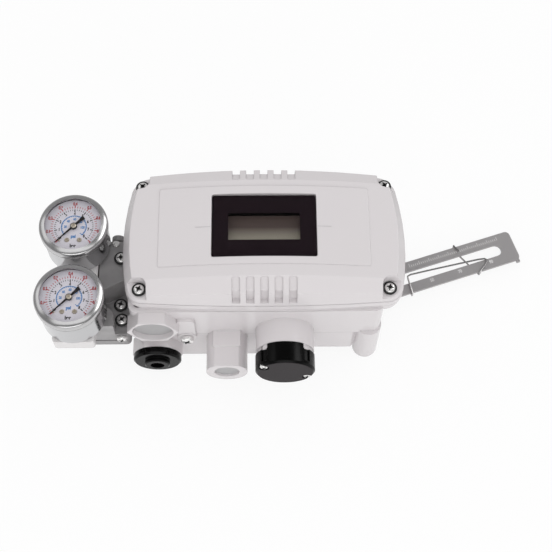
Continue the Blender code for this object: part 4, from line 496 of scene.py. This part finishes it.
# Painted light on the display glass: dark painted shade over the upper part, under the print's edge, and a
# paler olive painted reflection below.
painted_shade_edge, painted_shade_fade = middle.y - 0.0005, 0.008
above_painted_shade_edge = crystal.split(crystal.place())[1] - painted_shade_edge
crystal.set("Base Color", crystal.blend((0.5 - above_painted_shade_edge / painted_shade_fade).limited(), (0.115, 0.085, 0.078, 1),
                                        (0.42, 0.39, 0.32, 1)))
merged("display_glass", crystal)

# Gauges: a polished steel bezel rolled over a drawn case, its inner wall duller and painted darker as painted
# shade, a flat lens and a printed dial, whose black pointer turns on a brass hub. Each screws into the gauge
# block by a brass socket.
bezel_steel = Finish("polished_bezel_steel", (0.55, 0.545, 0.55), 0.19, 1.0)
case_steel = Finish("drawn_case_steel", (0.55, 0.55, 0.56), 0.16, 1.0)
inner_rim_painted_shade = Finish("dull_inner_rim_painted_shade", (0.34, 0.33, 0.34), 0.5, 0.8)
lens = Finish("gauge_lens", (0.0, 0.0, 0.0), 0.03, Alpha=0.06, Specular_IOR_Level=0.5)
dial_white = Finish("dial_white", (0.80, 0.77, 0.84), 0.5)
enamel = Finish("pointer_enamel", (0.020, 0.016, 0.017), 0.35)
brass = Finish("brass", (0.66, 0.55, 0.40), 0.28, 1.0)
hub_brass = Finish("hub_brass", (0.72, 0.64, 0.53), 0.32, 0.7)
inks = {"red": Finish("red_dial_ink", (0.55, 0.07, 0.08), 0.5),
        "black": Finish("black_dial_ink", (0.020, 0.018, 0.020), 0.5),
        "blue": Finish("blue_dial_ink", (0.09, 0.27, 0.60), 0.5)}


def bar(shape, start, end, width):
    """Adds a thin flat strip between two points in a plane."""
    run = Vector(end) - Vector(start)
    centre = (Vector(start) + Vector(end)) / 2
    matrix = (Matrix.Translation((centre.x, centre.y, 0)) @ Matrix.Rotation(math.atan2(run.y, run.x), 4, "Z")
              @ Matrix.Diagonal((run.length, width, 1, 1)))
    bmesh.ops.create_grid(shape, x_segments=1, y_segments=1, size=0.5, matrix=matrix)


def polar(radius, angle):
    return radius * math.cos(math.radians(angle)), radius * math.sin(math.radians(angle))


def letters(shape, text, place, size, squeeze):
    """Adds a line of flat text centred on a place, narrowed by squeeze."""
    curve = bpy.data.curves.new("letters", "FONT")
    curve.body = text
    curve.size = size
    curve.offset = size * 0.05
    curve.align_x = "CENTER"
    curve.align_y = "CENTER"
    holder = bpy.data.objects.new("letters", curve)
    bpy.context.scene.collection.objects.link(holder)
    bpy.context.view_layer.update()
    mesh = bpy.data.meshes.new_from_object(holder.evaluated_get(bpy.context.evaluated_depsgraph_get()))
    mesh.transform(Matrix.Translation((*place, 0)) @ Matrix.Diagonal((squeeze, 1, 1, 1)))
    shape.from_mesh(mesh)
    bpy.data.meshes.remove(mesh)
    bpy.data.objects.remove(holder)
    bpy.data.curves.remove(curve)


def dial_print():
    """Three inks: a red outer scale, a black inner one and a blue arc round the hub."""
    ink = {name: bmesh.new() for name in inks}
    scale_start, scale_sweep, steps = 225, 270, 40
    for step in range(steps + 1):
        angle = scale_start - scale_sweep * step / steps
        major = step % 5 == 0
        bar(ink["red"], polar(12.7e-3, angle), polar((14.8 if major else 14.0) * 1e-3, angle),
            0.00058 if major else 0.00036)
        bar(ink["black"], polar((10.1 if major else 11.0) * 1e-3, angle), polar(11.9e-3, angle),
            0.00062 if major else 0.00036)
        if major and step:
            letters(ink["red"], f"0.{step // 5}", polar(15.6e-3, angle), 0.0029, 0.72)
            letters(ink["black"], str(step // 5), polar(8.9e-3, angle), 0.0026, 0.8)
    arc_radius, arc_end, arc_step, arc_steps = 7.5e-3, -47, 4.6, 59
    for step in range(arc_steps):
        first, second = scale_start - arc_step * step, scale_start - arc_step * (step + 1)
        bar(ink["blue"], polar(arc_radius, first), polar(arc_radius, second), 0.00055)
        if step % 2 == 0:
            bar(ink["blue"], polar(6.7e-3, first), polar(arc_radius, first), 0.00034)
    bar(ink["blue"], polar(7.7e-3, arc_end), polar(5.6e-3, arc_end), 0.00045)
    for number in range(1, 6):
        letters(ink["blue"], str(20 * number), polar(5.2e-3, scale_start - 46 * number), 0.0023, 0.75)
    letters(ink["blue"], "psi", (0, -6.4e-3), 0.0030, 0.9)
    letters(ink["black"], "bar", (0, -12.7e-3), 0.0030, 0.9)
    return ink


masters = dial_print()
print_lift = 0.00004
lip_radius, wall = 0.01710, 0.01995
for number in (1, 2):
    low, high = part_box(f"gauge_bezel_{number}")
    axis = Vector(((low.x + high.x) / 2, (low.y + high.y) / 2, 0))
    top = high.z
    profile = [(wall, low.z), (0.02055, low.z), (0.02075, low.z + 0.0003), (0.02075, top - 0.0030),
               (0.02060, top - 0.0021), (0.02015, top - 0.0014), (0.01940, top - 0.0009),
               (0.01830, top - 0.00045), (lip_radius, top), (0.01700, top - 0.0011),
               (0.01948, top - 0.0011), (wall, top - 0.0016), (wall, low.z)]
    shape = turned(profile, Matrix.Translation(axis), 96)
    # The inner wall's faces take the second material: rougher steel, painted darker as painted shade at the
    # lip.
    for face in shape.faces:
        centre = face.calc_center_median()
        face.material_index = int((centre - axis).xy.length < lip_radius and centre.z < top)
    bezel = piece(f"gauge_bezel_{number}_finished", shape, bezel_steel, "body", (f"gauge_bezel_{number}",),
                  35)
    bezel.data.materials.append(inner_rim_painted_shade.material)
    merged(f"gauge_case_{number}", case_steel)
    merged(f"gauge_lens_{number}", lens)
    merged(f"gauge_dial_{number}", dial_white)
    merged(f"gauge_pointer_{number}", enamel)
    merged(f"gauge_socket_{number}", brass)
    dial_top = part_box(f"gauge_dial_{number}")[1].z
    for name, master in masters.items():
        shape = master.copy()
        bmesh.ops.translate(shape, vec=axis + Vector((0, 0, dial_top + print_lift)), verts=shape.verts)
        piece(f"{name}_dial_print_{number}", shape, inks[name], "body", keep_normals=True)
    for side in (-1, 1):
        place = Matrix.Translation(axis + Vector((side * 0.0037, -0.0088, dial_top)))
        head = turned([(0, 0), (0.0015, 0), (0.0015, 0.0002), (0.0012, 0.0005), (0.0005, 0.0006),
                       (0.0004, 0.0002), (0, 0.0002)], place, 24)
        piece(f"dial_screw_{number}_{'left' if side < 0 else 'right'}", head, hub_brass, "body")
    pin = turned([(0, 0), (0.0006, 0), (0.0006, 0.0008), (0.0004, 0.0010), (0, 0.0010)],
                 Matrix.Translation(axis + Vector((-0.0084, -0.0092, dial_top))), 16)
    piece(f"stop_pin_{number}", pin, hub_brass, "body")
    hub_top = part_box(f"gauge_pointer_{number}")[1].z
    hub = turned([(0, -0.0004), (0.0016, -0.0004), (0.0016, 0.0001), (0.0012, 0.0004), (0.0005, 0.0005),
                  (0.0004, 0.0002), (0, 0.0002)], Matrix.Translation(axis + Vector((0, 0, hub_top))), 24)
    piece(f"pointer_cap_{number}", hub, hub_brass, f"pointer_{number}")
for master in masters.values():
    master.free()
for node in ("shaft_bush", "sector_gear", "sensor_gear", "nozzle"):
    merged(node, brass)

# Lever: stainless sheet clamped on the main shaft, with an engraved scale along its slot and the bent
# spring wire that takes up the play of the valve's pin. The shaft and the motor are turned steel.
sheet = Finish("stainless_sheet", (0.43, 0.415, 0.42), 0.42, 0.6, grain=500)
for node in ("feedback_lever", "lever_washer"):
    merged(node, sheet)
engraving = Finish("pale_engraving", (0.70, 0.69, 0.69), 0.5, 0.2)
shape = bmesh.new()
pivot = middle + Vector((0.0573, -0.00615, 0))
along = math.radians(18.2)
scale_start, scale_pitch, scale_lines, scale_lift = 0.0445, 0.0014, 46, 0.00003
lever_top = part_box("feedback_lever")[1].z
for step in range(scale_lines):
    reach = scale_start + scale_pitch * step
    bar(shape, (reach, 0.0066), (reach, 0.0082 if step % 5 else 0.0092), 0.00045)
for reach, text in ((0.0550, "50"), (0.0750, "70"), (0.0975, "90")):
    letters(shape, text, (reach, -0.0068), 0.0032, 0.8)
bmesh.ops.transform(shape, matrix=Matrix.Translation(pivot + Vector((0, 0, lever_top + scale_lift)))
                    @ Matrix.Rotation(along, 4, "Z"), verts=shape.verts)
piece("lever_scale", shape, engraving, "feedback_shaft", keep_normals=True)
wire = Finish("spring_wire", (0.45, 0.44, 0.44), 0.25, 1.0)
merged("lever_spring", wire)
turned_steel = Finish("turned_steel", (0.55, 0.54, 0.53), 0.3, 1.0)
for node in ("main_shaft", "motor_yoke", "armature", "pilot_spool"):
    merged(node, turned_steel)

# Inside the housing: a green circuit board on four pillars, a grey-green plastic terminal block, and
# the torque motor's coil of copper wire.
board = Finish("circuit_board", (0.02, 0.10, 0.045), 0.4)
board.set("Base Color", board.blend(board.noise(120, 2), (0.015, 0.09, 0.04, 1), (0.03, 0.13, 0.06, 1)))
merged("circuit_board", board)
terminal_plastic = Finish("terminal_plastic", (0.10, 0.14, 0.12), 0.5)
merged("terminal_block", terminal_plastic)
winding = Finish("copper_winding", (0.45, 0.16, 0.06), 0.35, 0.7)
merged("motor_coil", winding)

low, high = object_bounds()
